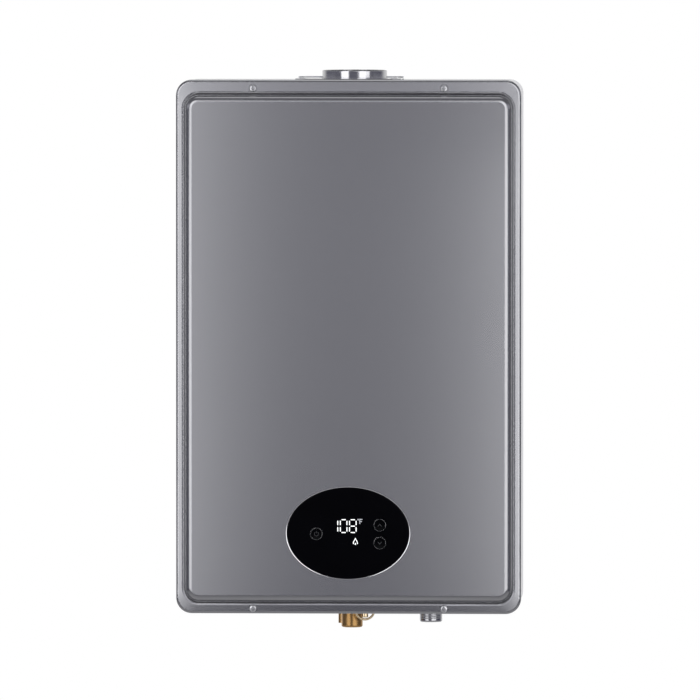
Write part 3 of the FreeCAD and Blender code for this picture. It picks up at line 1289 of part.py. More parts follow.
def transformer():
    """Small transformer on the case's back, beside the burner."""
    x, y, z = BESIDE_CORE_X, INSIDE_BACK, BOTTOM + TRANSFORMER_RISE
    half = TRANSFORMER_W / 2
    top = z + TRANSFORMER_H
    core = box(x - half, x + half, y - 2, y - TRANSFORMER_D, z, top)
    feet = box(x - half, x + half, y, y - 2.0, z - TRANSFORMER_FOOT, top + TRANSFORMER_FOOT)
    wide = half + WINDING_PROUD
    winding = box(x - wide, x + wide, y - 8, y - TRANSFORMER_D + 6, z + 8.0, top - 8.0)
    return core.fuse(feet).fuse(winding)


def igniter_module():
    """Potted spark box on the case's back, below the transformer."""
    x, z = BESIDE_CORE_X, BOTTOM + IGNITER_RISE
    front = INSIDE_BACK - IGNITER_D
    body = box(x - IGNITER_W / 2, x + IGNITER_W / 2, INSIDE_BACK, front, z, z + IGNITER_H)
    return body.makeFillet(2.0, edges_at_y(body, front))


def cable_gland():
    """Where the mains lead enters: a bushing through the case's floor with a nut inside."""
    x, y, r = GLAND_X, GLAND_Y, GLAND_R
    body = rod(r, V(x, y, BOTTOM), V(x, y, FLOOR + 6.0))
    body = body.fuse(rod(r + GLAND_HEAD, V(x, y, BOTTOM - GLAND_HEAD_T), V(x, y, BOTTOM)))
    body = body.fuse(hexagon(2 * (r + GLAND_HEAD), x, y, FLOOR, FLOOR + 4.0))
    return body.cut(rod(GLAND_BORE_R, V(x, y, BOTTOM - GLAND_HEAD_T - 1), V(x, y, FLOOR + 7.0)))


def chassis_brackets():
    """Two steel angles on the case's back that carry the burner box."""
    angles = []
    z = BURNER_FLOOR
    y_front = CORE_FRONT_Y + 6.0
    for x in (-CORE_W / 2 + 14.0, CORE_W / 2 - 14.0):
        seat = box(x - 9, x + 9, INSIDE_BACK, y_front, z - 1.5, z)
        back = box(x - 9, x + 9, INSIDE_BACK, INSIDE_BACK - 1.5, z - ANGLE_H, z)
        gusset = Part.Face(Part.makePolygon([V(x, INSIDE_BACK, z - 1.5), V(x, INSIDE_BACK - 40.0, z - 1.5),
                                             V(x, INSIDE_BACK, z - ANGLE_H), V(x, INSIDE_BACK, z - 1.5)]))
        angles.append(seat.fuse(back).fuse(gusset.extrude(V(1.5, 0, 0))))
    return group(angles)


def chassis_straps():
    """Two folded straps that tie the fan and hood back to the case."""
    straps = []
    z = FAN_CZ + STRAP_RISE
    for x in (HOOD_BOX_X0 + 4.0, HOOD_BOX_X1 - 12.0):
        foot = box(x - 8, x + 8, INSIDE_BACK, INSIDE_BACK - 1.2, z, z + STRAP_FOOT_H)
        arm = box(x - 8, x + 8, INSIDE_BACK, HOOD_BACK, z, z + 1.2)
        pad = box(x - 8, x + 8, HOOD_BACK, HOOD_BACK + 1.2, z - STRAP_PAD_H, z + 1.2)
        straps.append(foot.fuse(arm).fuse(pad))
    return group(straps)


def wall_bracket():
    """Steel strip bolted to the wall, its upper edge stepped forward as a hook."""
    low, high = -BRACKET_BELOW, BRACKET_ABOVE
    flat = box(-BRACKET_W / 2, BRACKET_W / 2, 0, -BRACKET_T, low, high)
    step = box(-BRACKET_W / 2, BRACKET_W / 2, 0, -LIP_REACH, high - BRACKET_T, high)
    lip = box(-BRACKET_W / 2, BRACKET_W / 2, -LIP_REACH, -LIP_REACH + BRACKET_T,
              high - BRACKET_T, high + LIP_H)
    bracket = flat.fuse(step).fuse(lip)
    for x in (-BOLT_SPACING / 2, BOLT_SPACING / 2):
        bracket = bracket.cut(rod(BOLT_R, V(x, 1, 0), V(x, -BRACKET_T - 1, 0)))
    return bracket.removeSplitter()


def case_hanger():
    """Folded strip on the case's back whose hook drops behind the bracket's lip."""
    top = BRACKET_ABOVE + LIP_H + FACE_GAP
    t, half = HOOK_T, HOOK_W / 2
    inner = -LIP_REACH + BRACKET_T + FACE_GAP
    web = box(-half, half, BACK, inner + t, top, top + t)
    hook = box(-half, half, inner, inner + t, top - FACE_GAP - HOOK_DROP, top + t)
    plate = box(-half, half, BACK, BACK + t, top - HANGER_BELOW, top + HANGER_ABOVE)
    return web.fuse(hook).fuse(plate).removeSplitter()


def wall_bumpers():
    """Two rubber feet that keep the case upright off the wall."""
    feet = []
    side = CASE_W / 2 - BUMPER_SIDE
    for x in (-side, side):
        at = V(x, 0, BOTTOM + BUMPER_RISE)
        foot = rod(BUMPER_R, at, V(x, BACK, at.z))
        feet.append(foot.makeFillet(1.5, edges_on_plane(foot, at, REAR)))
    return group(feet)


def main():
    save("rear_case", rear_case())
    save("case_top", case_top())
    save("front_cover", front_cover())
    save("cover_gasket", cover_gasket())
    save("cover_screws", cover_screws())
    save("display_lens", display_lens())
    save("display_housing", display_housing())
    save("display_board", display_board())
    save("display_digits", display_digits())
    save("display_housing_screws", display_housing_screws())
    for name, (x, z) in BUTTONS.items():
        save(name, button(x, z))
    save("button_switches", button_switches())
    save("flue_gasket", flue_gasket())
    save("flue_plate", flue_plate())
    save("flue_collar", flue_collar())
    save("flue_plate_screws", flue_plate_screws())
    save("exhaust_hood", exhaust_hood())
    save("fan_housing", fan_housing())
    save("fan_wheel", fan_wheel())
    save("fan_shaft", fan_shaft())
    save("fan_motor", fan_motor())
    save("fan_screws", fan_screws())
    save("heat_exchanger_shell", heat_exchanger_shell())
    save("heat_exchanger_fins", heat_exchanger_fins())
    save("heat_exchanger_tube", heat_exchanger_tube())
    save("combustion_chamber", chamber_front_holes(combustion_chamber()))
    save("burner_box", burner_box())
    save("burner_bars", burner_bars())
    save("gas_manifold", gas_manifold())
    save("gas_nozzles", gas_nozzles())
    save("ignition_electrodes", ignition_electrodes())
    save("flame_sensor", flame_sensor())
    save("gas_inlet_fitting", gas_inlet_fitting())
    save("gas_valve_body", gas_valve_body())
    save("gas_valve_coils", gas_valve_coils())
    save("gas_pipe", gas_pipe())
    save("water_inlet_fitting", water_inlet_fitting())
    save("inlet_filter", inlet_filter())
    save("drain_plug", drain_plug())
    save("drain_plug_seal", drain_plug_seal())
    save("flow_sensor_body", flow_sensor_body())
    save("flow_sensor_rotor", flow_sensor_rotor())
    save("cold_water_pipe", cold_water_pipe())
    save("hot_water_pipe", hot_water_pipe())
    save("hot_outlet_fitting", hot_outlet_fitting())
    save("temperature_sensor", temperature_sensor())
    save("overheat_switch", overheat_switch())
    save("air_pressure_switch", air_pressure_switch())
    save("control_box", control_box())
    save("control_board", control_board())
    save("transformer", transformer())
    save("igniter_module", igniter_module())
    save("cable_gland", cable_gland())
    save("chassis_brackets", chassis_brackets())
    save("chassis_straps", chassis_straps())
    save("wall_bracket", wall_bracket())
    save("case_hanger", case_hanger())
    save("wall_bumpers", wall_bumpers())


main()
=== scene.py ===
# %% [markdown]
# # A wall-hung tankless gas water heater
# The heater is a folded sheet case behind a pressed cover of brushed stainless steel, with an
# oval black display low down, a flue collar on top and brass and steel fittings underneath.
# The engineering model gives every solid its real size. This lesson loads it as a fixed frame,
# then gives each surface its finish and adds the pieces that only the eye needs.

# %% Load the frame
import json
import math

import bmesh
import bpy
from mathutils import Matrix, Vector


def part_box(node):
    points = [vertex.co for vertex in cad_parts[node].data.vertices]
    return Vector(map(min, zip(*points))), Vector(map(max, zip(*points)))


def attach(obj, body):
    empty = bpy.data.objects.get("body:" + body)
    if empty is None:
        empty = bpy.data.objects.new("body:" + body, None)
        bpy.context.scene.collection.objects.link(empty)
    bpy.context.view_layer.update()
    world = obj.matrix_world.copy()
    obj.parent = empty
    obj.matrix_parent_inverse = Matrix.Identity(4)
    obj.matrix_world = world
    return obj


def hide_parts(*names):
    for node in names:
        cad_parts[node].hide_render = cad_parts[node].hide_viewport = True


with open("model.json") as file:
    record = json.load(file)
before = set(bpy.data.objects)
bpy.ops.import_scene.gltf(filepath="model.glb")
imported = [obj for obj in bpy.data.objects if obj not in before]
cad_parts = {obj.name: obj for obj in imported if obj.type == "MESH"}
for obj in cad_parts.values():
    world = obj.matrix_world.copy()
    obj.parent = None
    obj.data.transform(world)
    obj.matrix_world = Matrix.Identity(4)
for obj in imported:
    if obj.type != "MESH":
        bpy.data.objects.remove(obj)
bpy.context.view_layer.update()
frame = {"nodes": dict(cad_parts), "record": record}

# %% [markdown]
# Sizes are thought of in millimetres, as on the drawing, and Blender works in metres. A few
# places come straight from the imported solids, so a dressed piece sits on the solid it dresses
# even when a size of the heater changes.

# %% Places on the heater
MM = 0.001


def corners(node):
    """Lowest and highest corner of a node in millimetres."""
    low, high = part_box(node)
    return Vector(low) / MM, Vector(high) / MM


lens_low, lens_high = corners("display_lens")
LENS_FRONT = lens_low.y
OVAL_X = (lens_low.x + lens_high.x) / 2
OVAL_Z = (lens_low.z + lens_high.z) / 2
print("oval centre", round(OVAL_X, 2), round(OVAL_Z, 2), "lens front", round(LENS_FRONT, 2))

# %% [markdown]
# Every new piece starts as a bmesh: a small mesh that is edited with the same operators as in
# Edit Mode. Two helpers turn it into an object: one puts it on its body of the frame and names
# the finish slot, the other makes turned parts from half a profile, like a lathe.

# %% Mesh helpers


def to_object(bm, name, material, body="heater", smooth=25.0):
    """Makes an object of a bmesh that is in millimetres, and lets it ride on its body."""
    bmesh.ops.scale(bm, vec=(MM, MM, MM), verts=bm.verts)
    mesh = bpy.data.meshes.new(name)
    bm.to_mesh(mesh)
    bm.free()
    mesh.materials.append(material)
    mesh.polygons.foreach_set("use_smooth", [True] * len(mesh.polygons))
    mesh.set_sharp_from_angle(angle=math.radians(smooth))
    piece = bpy.data.objects.new(name, mesh)
    bpy.context.scene.collection.objects.link(piece)
    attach(piece, body)
    print(name, "rides on", body, "with", len(mesh.polygons), "faces")
    return piece


def lathe(bm, profile, centre, steps=72, axis=(0, 0, 1)):
    """Spins a profile of (radius, height) points round a line through centre."""
    centre, axis = Vector(centre), Vector(axis)
    turn = Vector((0, 0, 1)).rotation_difference(axis).to_matrix()
    points = [bm.verts.new(centre + turn @ Vector((r, 0, h))) for r, h in profile]
    edges = [bm.edges.new(pair) for pair in zip(points, points[1:])]
    bmesh.ops.spin(bm, geom=points + edges, cent=centre, axis=axis, angle=math.tau,
                   steps=steps, use_merge=True)
    bmesh.ops.remove_doubles(bm, verts=bm.verts, dist=0.001)
    bmesh.ops.recalc_face_normals(bm, faces=bm.faces)


def tile(bm, outline, front, thick):
    """A flat tile in the plane of the display: outline is (x, z) points, front is its y."""
    verts = [bm.verts.new((x, front + thick, z)) for x, z in outline]
    face = bm.faces.new(verts)
    made = bmesh.ops.extrude_face_region(bm, geom=[face])
    moved = [g for g in made["geom"] if isinstance(g, bmesh.types.BMVert)]
    bmesh.ops.translate(bm, vec=(0, -thick, 0), verts=moved)
    bmesh.ops.recalc_face_normals(bm, faces=bm.faces)


# %% [markdown]
# ## Finishes
# A finish is a small node tree on Object coordinates. Real metal and plastic are never one flat
# colour: fine noise, stretched along the grain, moves the colour, the roughness and a little
# bump together. One helper builds that, and each finish below only says how strong and how long
# the grain is.

# %% Noise and its range


def noise(nodes, links, place, scale, detail=3.0, rough=0.55):
    """Noise in Object coordinates, stretched by scale, which is in waves per metre."""
    mapping = nodes.new("ShaderNodeMapping")
    mapping.inputs["Scale"].default_value = scale
    links.new(place, mapping.inputs["Vector"])
    texture = nodes.new("ShaderNodeTexNoise")
    texture.inputs["Scale"].default_value = 1.0
    texture.inputs["Detail"].default_value = detail
    texture.inputs["Roughness"].default_value = rough
    links.new(mapping.outputs["Vector"], texture.inputs["Vector"])
    return texture.outputs["Fac"]


def spread(nodes, links, value, low, high, start=0.3, end=0.7):
    """Maps a noise value from start..end to low..high."""
    node = nodes.new("ShaderNodeMapRange")
    node.inputs["From Min"].default_value = start
    node.inputs["From Max"].default_value = end
    node.inputs["To Min"].default_value = low
    node.inputs["To Max"].default_value = high
    links.new(value, node.inputs["Value"])
    return node.outputs["Result"]


# %% [markdown]
# The finish helper then mixes two shades of the colour by the fine grain, darkens them a little by
# the soft clouds, and lets the same grain move the roughness and lift the surface. A value that is
# the same everywhere, such as metallic, stays on the shader's own socket.

# %% Finish helper
RELIEF_HEIGHT = 0.0005
materials = {}


def finish(name, colour, metal=0.0, rough=0.5, grain=(900, 900, 900), vary=0.06, clouds=9.0,
           cloudy=0.05, rough_vary=0.08, bump=0.02, **sockets):
    """A finish whose colour, roughness and relief follow a stretched grain and soft clouds."""
    material = bpy.data.materials.new(name)
    material.use_nodes = True
    nodes, links = material.node_tree.nodes, material.node_tree.links
    shader = nodes["Principled BSDF"]
    place = nodes.new("ShaderNodeTexCoord").outputs["Object"]
    fine = noise(nodes, links, place, grain)
    soft = noise(nodes, links, place, (clouds, clouds, clouds), detail=2.0)
    shade = nodes.new("ShaderNodeMix")
    shade.data_type = "RGBA"
    shade.inputs["A"].default_value = [c * (1 - vary) for c in colour] + [1.0]
    shade.inputs["B"].default_value = [min(c * (1 + vary), 1.0) for c in colour] + [1.0]
    links.new(spread(nodes, links, fine, 0.0, 1.0), shade.inputs["Factor"])
    cloud = nodes.new("ShaderNodeMix")
    cloud.data_type = "RGBA"
    cloud.blend_type = "MULTIPLY"
    cloud.inputs["Factor"].default_value = 1.0
    grey = nodes.new("ShaderNodeCombineColor")
    level = spread(nodes, links, soft, 1.0 - cloudy, 1.0)
    for channel in ("Red", "Green", "Blue"):
        links.new(level, grey.inputs[channel])
    links.new(shade.outputs["Result"], cloud.inputs["A"])
    links.new(grey.outputs["Color"], cloud.inputs["B"])
    links.new(cloud.outputs["Result"], shader.inputs["Base Color"])
    links.new(spread(nodes, links, fine, rough - rough_vary, rough + rough_vary),
              shader.inputs["Roughness"])
    relief = nodes.new("ShaderNodeBump")
    relief.inputs["Strength"].default_value = bump
    relief.inputs["Distance"].default_value = RELIEF_HEIGHT
    links.new(fine, relief.inputs["Height"])
    links.new(relief.outputs["Normal"], shader.inputs["Normal"])
    shader.inputs["Metallic"].default_value = metal
    for socket, value in sockets.items():
        shader.inputs[socket.replace("_", " ")].default_value = value
    materials[name] = material
    print("finish", name)
    return material


def smear(material, direction, amount):
    """Lets a finish stretch its reflections along one direction, as scratches across it do."""
    nodes, links = material.node_tree.nodes, material.node_tree.links
    shader = nodes["Principled BSDF"]
    along = nodes.new("ShaderNodeCombineXYZ")
    for socket, value in zip("XYZ", direction):
        along.inputs[socket].default_value = value
    links.new(along.outputs["Vector"], shader.inputs["Tangent"])
    shader.inputs["Anisotropic"].default_value = amount


# %% [markdown]
# ### Brushed stainless steel
# The cover is brushed from top to bottom, so its scratches are long in Z and only tenths of a
# millimetre wide in X. Such a surface smears a reflection sideways, which is why the lights at
# the left and right fade so softly towards the middle. The grain is stretched noise, and the
# shader's anisotropy does the smearing.

# %% Sheet metals
brushed = finish("brushed_stainless", (0.30, 0.30, 0.309), metal=1.0, rough=0.265,
                 grain=(9000, 9000, 26), vary=0.02, clouds=3.0, cloudy=0.01, rough_vary=0.008,
                 bump=0.002)
smear(brushed, (1.0, 0.3, 0.0), 0.6)
coated = finish("case_sheet", (0.74, 0.74, 0.75), metal=0.25, rough=0.36,
                grain=(1400, 1400, 1400), vary=0.015, cloudy=0.03, bump=0.03)
galvanised = finish("galvanised", (0.64, 0.65, 0.66), metal=0.9, rough=0.38,
                    grain=(160, 160, 160), vary=0.08, clouds=40.0, cloudy=0.14, bump=0.03)
bracket = finish("bracket_steel", (0.52, 0.53, 0.54), metal=0.85, rough=0.42,
                 grain=(120, 900, 120), vary=0.07, clouds=30.0, cloudy=0.12, bump=0.03)
collar_steel = finish("collar_steel", (0.46, 0.46, 0.47), metal=1.0, rough=0.13,
                      grain=(60, 60, 2200), vary=0.03, clouds=25.0, cloudy=0.05,
                      rough_vary=0.02, bump=0.004)
screw_steel = finish("screw_steel", (0.52, 0.52, 0.53), metal=1.0, rough=0.32,
                     grain=(1800, 1800, 1800), vary=0.06, clouds=200.0, cloudy=0.12, bump=0.04)
fitting_steel = finish("fitting_steel", (0.42, 0.42, 0.43), metal=1.0, rough=0.2,
                       grain=(2600, 2600, 2600), vary=0.04, clouds=80.0, cloudy=0.12,
                       rough_vary=0.03, bump=0.004)
laminated = finish("laminated_steel", (0.22, 0.22, 0.24), metal=0.7, rough=0.5,
                   grain=(60, 60, 2600), vary=0.25, clouds=60.0, cloudy=0.2, bump=0.2)

# %% [markdown]
# ### Copper, brass and castings
# Drawn copper is soft and pink with darker heat stains, machined brass is yellow and bright on
# its turned faces, and castings are dull with a fine grain. The grain's stretch says how each
# was made: along the pipe, round the thread, or the same every way.

# %% Yellow metals and castings
copper = finish("copper", (0.80, 0.40, 0.24), metal=1.0, rough=0.3, grain=(400, 400, 400),
                vary=0.08, clouds=18.0, cloudy=0.3, bump=0.03)
brass = finish("brass", (0.44, 0.26, 0.10), metal=1.0, rough=0.30, grain=(2600, 2600, 2600),
               vary=0.03, clouds=60.0, cloudy=0.14, rough_vary=0.02, bump=0.002)
polished_brass = finish("polished_brass", (0.72, 0.58, 0.38), metal=1.0, rough=0.14,
                        grain=(500, 500, 500), vary=0.05, clouds=120.0, cloudy=0.1,
                        rough_vary=0.03, bump=0.01)
cast = finish("cast_alloy", (0.55, 0.56, 0.57), metal=0.9, rough=0.5, grain=(1100, 1100, 1100),
              vary=0.1, clouds=60.0, cloudy=0.12, bump=0.25)

# %% [markdown]
# ### Plastics, rubber and ceramic
# Mouldings show a fine spark-eroded texture, rubber is matt with dust in it, and the gloss black
# parts of the display stay almost clean: only a faint haze varies their roughness.

# %% Plastics, rubber, ceramic
lens_black = finish("lens_black", (0.0010, 0.0010, 0.0014), rough=0.07, grain=(500, 500, 500),
                    vary=0.2, clouds=30.0, cloudy=0.3, rough_vary=0.02, bump=0.003, IOR=1.46,
                    Specular_IOR_Level=0.15)
button_black = finish("button_black", (0.0012, 0.0012, 0.0016), rough=0.12,
                      grain=(700, 700, 700), vary=0.2, clouds=90.0, cloudy=0.3,
                      rough_vary=0.03, bump=0.004, IOR=1.46, Specular_IOR_Level=0.12)
housing_plastic = finish("housing_plastic", (0.045, 0.045, 0.05), rough=0.55,
                         grain=(1700, 1700, 1700), vary=0.12, bump=0.15)
coil_black = finish("coil_black", (0.03, 0.03, 0.035), rough=0.45, grain=(1500, 1500, 1500),
                    vary=0.15, bump=0.12)
potted = finish("potted_black", (0.05, 0.05, 0.055), rough=0.4, grain=(700, 700, 700),
                vary=0.15, clouds=60.0, cloudy=0.2, bump=0.1)
box_plastic = finish("box_plastic", (0.74, 0.73, 0.69), rough=0.5, grain=(1600, 1600, 1600),
                     vary=0.03, cloudy=0.06, bump=0.1)
ceramic = finish("ceramic", (0.84, 0.82, 0.76), rough=0.2, grain=(300, 300, 300), vary=0.03,
                 clouds=50.0, cloudy=0.08, bump=0.02)
seal_rubber = finish("seal_rubber", (0.03, 0.03, 0.03), rough=0.75, grain=(1300, 1300, 1300),
                     vary=0.2, clouds=120.0, cloudy=0.2, bump=0.2)
gasket = finish("gasket_grey", (0.28, 0.28, 0.29), rough=0.9, grain=(900, 900, 900), vary=0.18,
                clouds=120.0, cloudy=0.2, bump=0.5)
board_green = finish("circuit_green", (0.02, 0.16, 0.06), rough=0.35, grain=(500, 500, 500),
                     vary=0.25, clouds=260.0, cloudy=0.35, bump=0.05)
digit_glass = finish("digit_light", (0.10, 0.10, 0.11), rough=0.3, grain=(600, 600, 600),
                     vary=0.1, bump=0.02)

# %% [markdown]
# Each node of the frame names its finish slot in the record, so dressing the solids is one
# short loop: look the slot up, and put the finish of that name on the node. Two nodes look
# smoother than the rest of their slot: the flue plate, which mirrors the collar standing on it,
# and the drain plug with its polished pull ring.

# %% Dress the frame
slot_of = {}
for part in frame["record"]["subparts"]:
    slot_of[part["node"]] = part["material_slot"]
SMOOTHER = {"flue_plate": collar_steel, "drain_plug": polished_brass}
for name, node in frame["nodes"].items():
    material = SMOOTHER.get(name, materials[slot_of[name]])
    if node.data.materials:
        for used in node.material_slots:
            used.material = material
    else:
        node.data.materials.append(material)
print("dressed", len(slot_of), "nodes with", len(materials), "finishes")

# %% [markdown]
# ## The display
# Behind the black oval a module lights three digits, a degree sign with F and a small flame. They
# could glow through a tinted lens, but a dark lens with lit tiles a tenth of a millimetre proud
# of it gives the same look with clean edges, and it survives an export.

# %% Light of the digits
DIM_SPOT, BRIGHT_SPOT = 0.85, 1.1


def glow(name, colour, strength):
    """A lit tile: its light is a little uneven, as a diffuser in front of small lamps is."""
    material = finish(name, colour, rough=0.4, grain=(900, 900, 900), vary=0.05, bump=0.01)
    shader = material.node_tree.nodes["Principled BSDF"]
    nodes, links = material.node_tree.nodes, material.node_tree.links
    place = nodes["Texture Coordinate"].outputs["Object"]
    uneven = noise(nodes, links, place, (420, 420, 420), detail=1.0)
    shader.inputs["Emission Color"].default_value = (*colour, 1.0)
    links.new(spread(nodes, links, uneven, strength * DIM_SPOT, strength * BRIGHT_SPOT),
              shader.inputs["Emission Strength"])
    return material


lit = glow("lit_white", (0.86, 0.88, 0.86), 0.66)
lit_dim = glow("lit_dim", (0.50, 0.52, 0.54), 0.16)

# %% [markdown]
# A digit has seven bars, named a to g from the top round to the middle. Each bar is a place on a
# small grid, in halves of the digit's width and height, and a sign that says whether it stands.

# %% Digits
DIGIT_PITCH = 10.3
BAR_W, BAR_L, BAR_END = 1.1, 5.0, 0.7
ROUND_STEPS = 5
DIGITS_X, DIGITS_Z = -4.9, 8.0
DIGIT_SPAN_X, DIGIT_SPAN_Z = 7.4, 7.2
DIGIT_FRONT, DIGIT_T = LENS_FRONT - 0.10, 0.09
SEGMENTS = {
    "a": (0, 1, 0), "b": (0.5, 0.5, 1), "c": (0.5, -0.5, 1), "d": (0, -1, 0),
    "e": (-0.5, -0.5, 1), "f": (-0.5, 0.5, 1), "g": (0, 0, 0),
}
FIGURES = (("bc", -DIGIT_PITCH), ("abcdef", 0.0), ("abcdefg", DIGIT_PITCH))


def bar_outline(x, z, length, width, upright):
    """A segment of the read-out: a bar with softly rounded ends."""
    r = width / 2
    points = []
    for end in (1, -1):
        for i in range(ROUND_STEPS + 1):
            turn = math.pi / 2 - math.pi * i / ROUND_STEPS
            along = end * (length / 2 - BAR_END * r + BAR_END * r * math.cos(turn))
            across = end * r * math.sin(turn)
            points.append((x + across, z + along) if upright else (x + along, z + across))
    return points


bm = bmesh.new()
for letters, shift in FIGURES:
    for letter in letters:
        px, pz, upright = SEGMENTS[letter]
        place = (OVAL_X + DIGITS_X + shift + px * DIGIT_SPAN_X,
                 OVAL_Z + DIGITS_Z + pz * DIGIT_SPAN_Z)
        tile(bm, bar_outline(*place, BAR_L, BAR_W, upright), DIGIT_FRONT, DIGIT_T)
to_object(bm, "lit_figures", lit)

# %% Degree sign with F
F_X, F_Z = OVAL_X + 12.8, OVAL_Z + 16.0
SIGN_LEFT, SIGN_DOWN = 1.4, 0.7
DEGREE_RING = [(0.4, 0.0), (0.4, DIGIT_T), (0.85, DIGIT_T), (0.85, 0.0), (0.4, 0.0)]
LETTER_F = [(0.0, 0.0), (3.4, 0.0), (3.4, -0.9), (0.9, -0.9), (0.9, -2.4), (2.8, -2.4),
            (2.8, -3.3), (0.9, -3.3), (0.9, -5.6), (0.0, -5.6)]
bm = bmesh.new()
tile(bm, [(F_X + x, F_Z + z) for x, z in LETTER_F], DIGIT_FRONT, DIGIT_T)
lathe(bm, DEGREE_RING, (F_X - SIGN_LEFT, DIGIT_FRONT + DIGIT_T, F_Z - SIGN_DOWN), steps=24,
      axis=(0, -1, 0))
to_object(bm, "degree_sign", lit_dim)

# %% [markdown]
# The flame is two curved strokes that meet at the tip, with a small drop between them. Only one
# stroke is drawn, and the other is the same outline with its x turned round.

# %% Flame
FLAME_X, FLAME_Z = OVAL_X + 8.3, OVAL_Z - 12.9
FLAME_ARCH = [(0.0, 7.8), (0.9, 6.3), (2.0, 4.3), (2.7, 2.7), (2.8, 1.5), (2.45, 0.6), (1.75, 0.9),
              (1.85, 1.9), (1.6, 3.1), (0.95, 4.5), (0.0, 5.9)]
FLAME_CORE = [(0.0, 2.3), (0.45, 1.6), (0.75, 0.9), (0.65, 0.2), (0.3, -0.1), (0.0, -0.2)]


def mirrored(half):
    """Closes a half outline that starts and ends on the middle line."""
    return half + [(-x, z) for x, z in half[-2:0:-1]]


bm = bmesh.new()
for side in (1, -1):
    tile(bm, [(FLAME_X + side * x, FLAME_Z + z) for x, z in FLAME_ARCH], DIGIT_FRONT, DIGIT_T)
tile(bm, [(FLAME_X + x, FLAME_Z + z) for x, z in mirrored(FLAME_CORE)], DIGIT_FRONT, DIGIT_T)
to_object(bm, "flame_sign", lit)

# %% [markdown]
# ### Edge of the lens
# The lens sits in a thin bright trim. Its face slopes in towards the lens, so the lower half
# looks up at the lights and the upper half down at the dark floor: that is why the photo has a
# bright line under the oval and hardly any above it. A lathe would make it wider at the sides
# than above, because a stretched circle stretches its width too. So it is four oval loops, each
# the oval plus a step outwards, bridged to one another.

# %% Lens trim
TRIM_W, TRIM_RISE, TRIM_STEPS = 0.65, 0.32, 180
TRIM_ROOT, TRIM_LIP = 0.1, 0.03
LENS_PROUD = 0.6
OVAL_HALF_W, OVAL_HALF_H = 69.05, 51.45
TRIM_SECTION = ((0.0, TRIM_ROOT), (0.0, -TRIM_LIP), (TRIM_W, -TRIM_RISE), (TRIM_W, TRIM_ROOT))
trim_steel = finish("trim_steel", (0.66, 0.66, 0.67), metal=1.0, rough=0.18, grain=(900, 900, 900),
                    vary=0.03, rough_vary=0.03, bump=0.004)
bm = bmesh.new()
loops = []
for out, depth in TRIM_SECTION:
    loop = bmesh.ops.create_circle(bm, segments=TRIM_STEPS, radius=1.0)["verts"]
    bmesh.ops.scale(bm, vec=(OVAL_HALF_W + out, OVAL_HALF_H + out, 1.0), verts=loop)
    bmesh.ops.rotate(bm, matrix=Matrix.Rotation(math.pi / 2, 3, "X"), verts=loop)
    bmesh.ops.translate(bm, vec=(OVAL_X, LENS_FRONT + LENS_PROUD + depth, OVAL_Z), verts=loop)
    loops.append(list({edge for vert in loop for edge in vert.link_edges}))
for near, far in zip(loops, loops[1:] + loops[:1]):
    bmesh.ops.bridge_loops(bm, edges=near + far)
bmesh.ops.recalc_face_normals(bm, faces=bm.faces)
to_object(bm, "lens_trim", trim_steel, smooth=30.0)

# %% [markdown]
# ### Buttons
# Each button is a dished black cap whose edge catches the light as a thin grey ring. The ring is
# a turned bead in the cap's edge, and it rides on the button, so it goes in with it. Its grey
# colour is a painted sheen of the black edge, and the lamps add a real highlight on top of it.

# %% Ring and sign finishes
# The ring's grey colour is a painted sheen of the black cap's edge; its highlight comes from the
# lamps.
painted_sheen_grey = finish("painted_sheen_grey", (0.34, 0.34, 0.35), metal=0.8, rough=0.26, grain=(900, 900, 900),
                   vary=0.1, bump=0.02)
sign_grey = finish("sign_grey", (0.020, 0.020, 0.022), rough=0.4, grain=(1500, 1500, 1500),
                   vary=0.15, bump=0.02)

# %% [markdown]
# The power sign is an open circle with a short bar in its gap, and the other two are chevrons.
# They are thin grey tiles that sit in the dish of their cap.

# %% Button rings and signs
CAP_R, RING_RAISE = 6.9, 0.06
RING_BEAD = [(CAP_R - 0.75, -0.30), (CAP_R - 0.62, 0.0), (CAP_R - 0.4, 0.06),
             (CAP_R - 0.12, -0.08), (CAP_R - 0.03, -0.6), (CAP_R - 0.75, -0.6),
             (CAP_R - 0.75, -0.30)]
SIGN_R, SIGN_LINE, SIGN_SUNK, SIGN_T = 2.3, 0.5, 0.2, 0.12
POWER_GAP, POWER_BAR = 40, (0.5, 2.9)
CHEVRON = [(-2.4, -1.3), (0.0, 1.6), (2.4, -1.3), (1.6, -1.3), (0.0, 0.6), (-1.6, -1.3)]


def arc_band(bm, x, z, r, line, first, last, front, thick, steps=28):
    """A flat curved line from one angle to the other, in degrees from the top."""
    turns = [math.radians(first + (last - first) * i / steps) for i in range(steps + 1)]
    outer = [(x + (r + line / 2) * math.sin(t), z + (r + line / 2) * math.cos(t)) for t in turns]
    inner = [(x + (r - line / 2) * math.sin(t), z + (r - line / 2) * math.cos(t)) for t in turns]
    tile(bm, outer + inner[::-1], front, thick)


for name in ("power_button", "raise_button", "lower_button"):
    low, high = corners(name)
    x, front, z = (low.x + high.x) / 2, low.y, (low.z + high.z) / 2
    bm = bmesh.new()
    lathe(bm, RING_BEAD, (x, front + RING_RAISE, z), steps=64, axis=(0, -1, 0))
    to_object(bm, name + "_ring", painted_sheen_grey, body=name)
    bm = bmesh.new()
    sign_front = front + SIGN_SUNK
    if name == "power_button":
        arc_band(bm, x, z, SIGN_R, SIGN_LINE, POWER_GAP, 360 - POWER_GAP, sign_front, SIGN_T)
        foot, head = POWER_BAR
        tile(bm, [(x - SIGN_LINE / 2, z + foot), (x + SIGN_LINE / 2, z + foot),
                  (x + SIGN_LINE / 2, z + head), (x - SIGN_LINE / 2, z + head)], sign_front, SIGN_T)
    else:
        up = 1 if name == "raise_button" else -1
        tile(bm, [(x + dx, z + up * dz) for dx, dz in CHEVRON], sign_front, SIGN_T)
    to_object(bm, name + "_sign", sign_grey, body=name)

# %% [markdown]
# ### Screws
# A pan head is a turned dome with a pressed cross: the cross outline and a circle get the same
# number of points, so one strip of faces joins them, and a smaller copy of the cross lower down
# makes the recess. The new screws replace the plain ones of the frame, seat for seat.

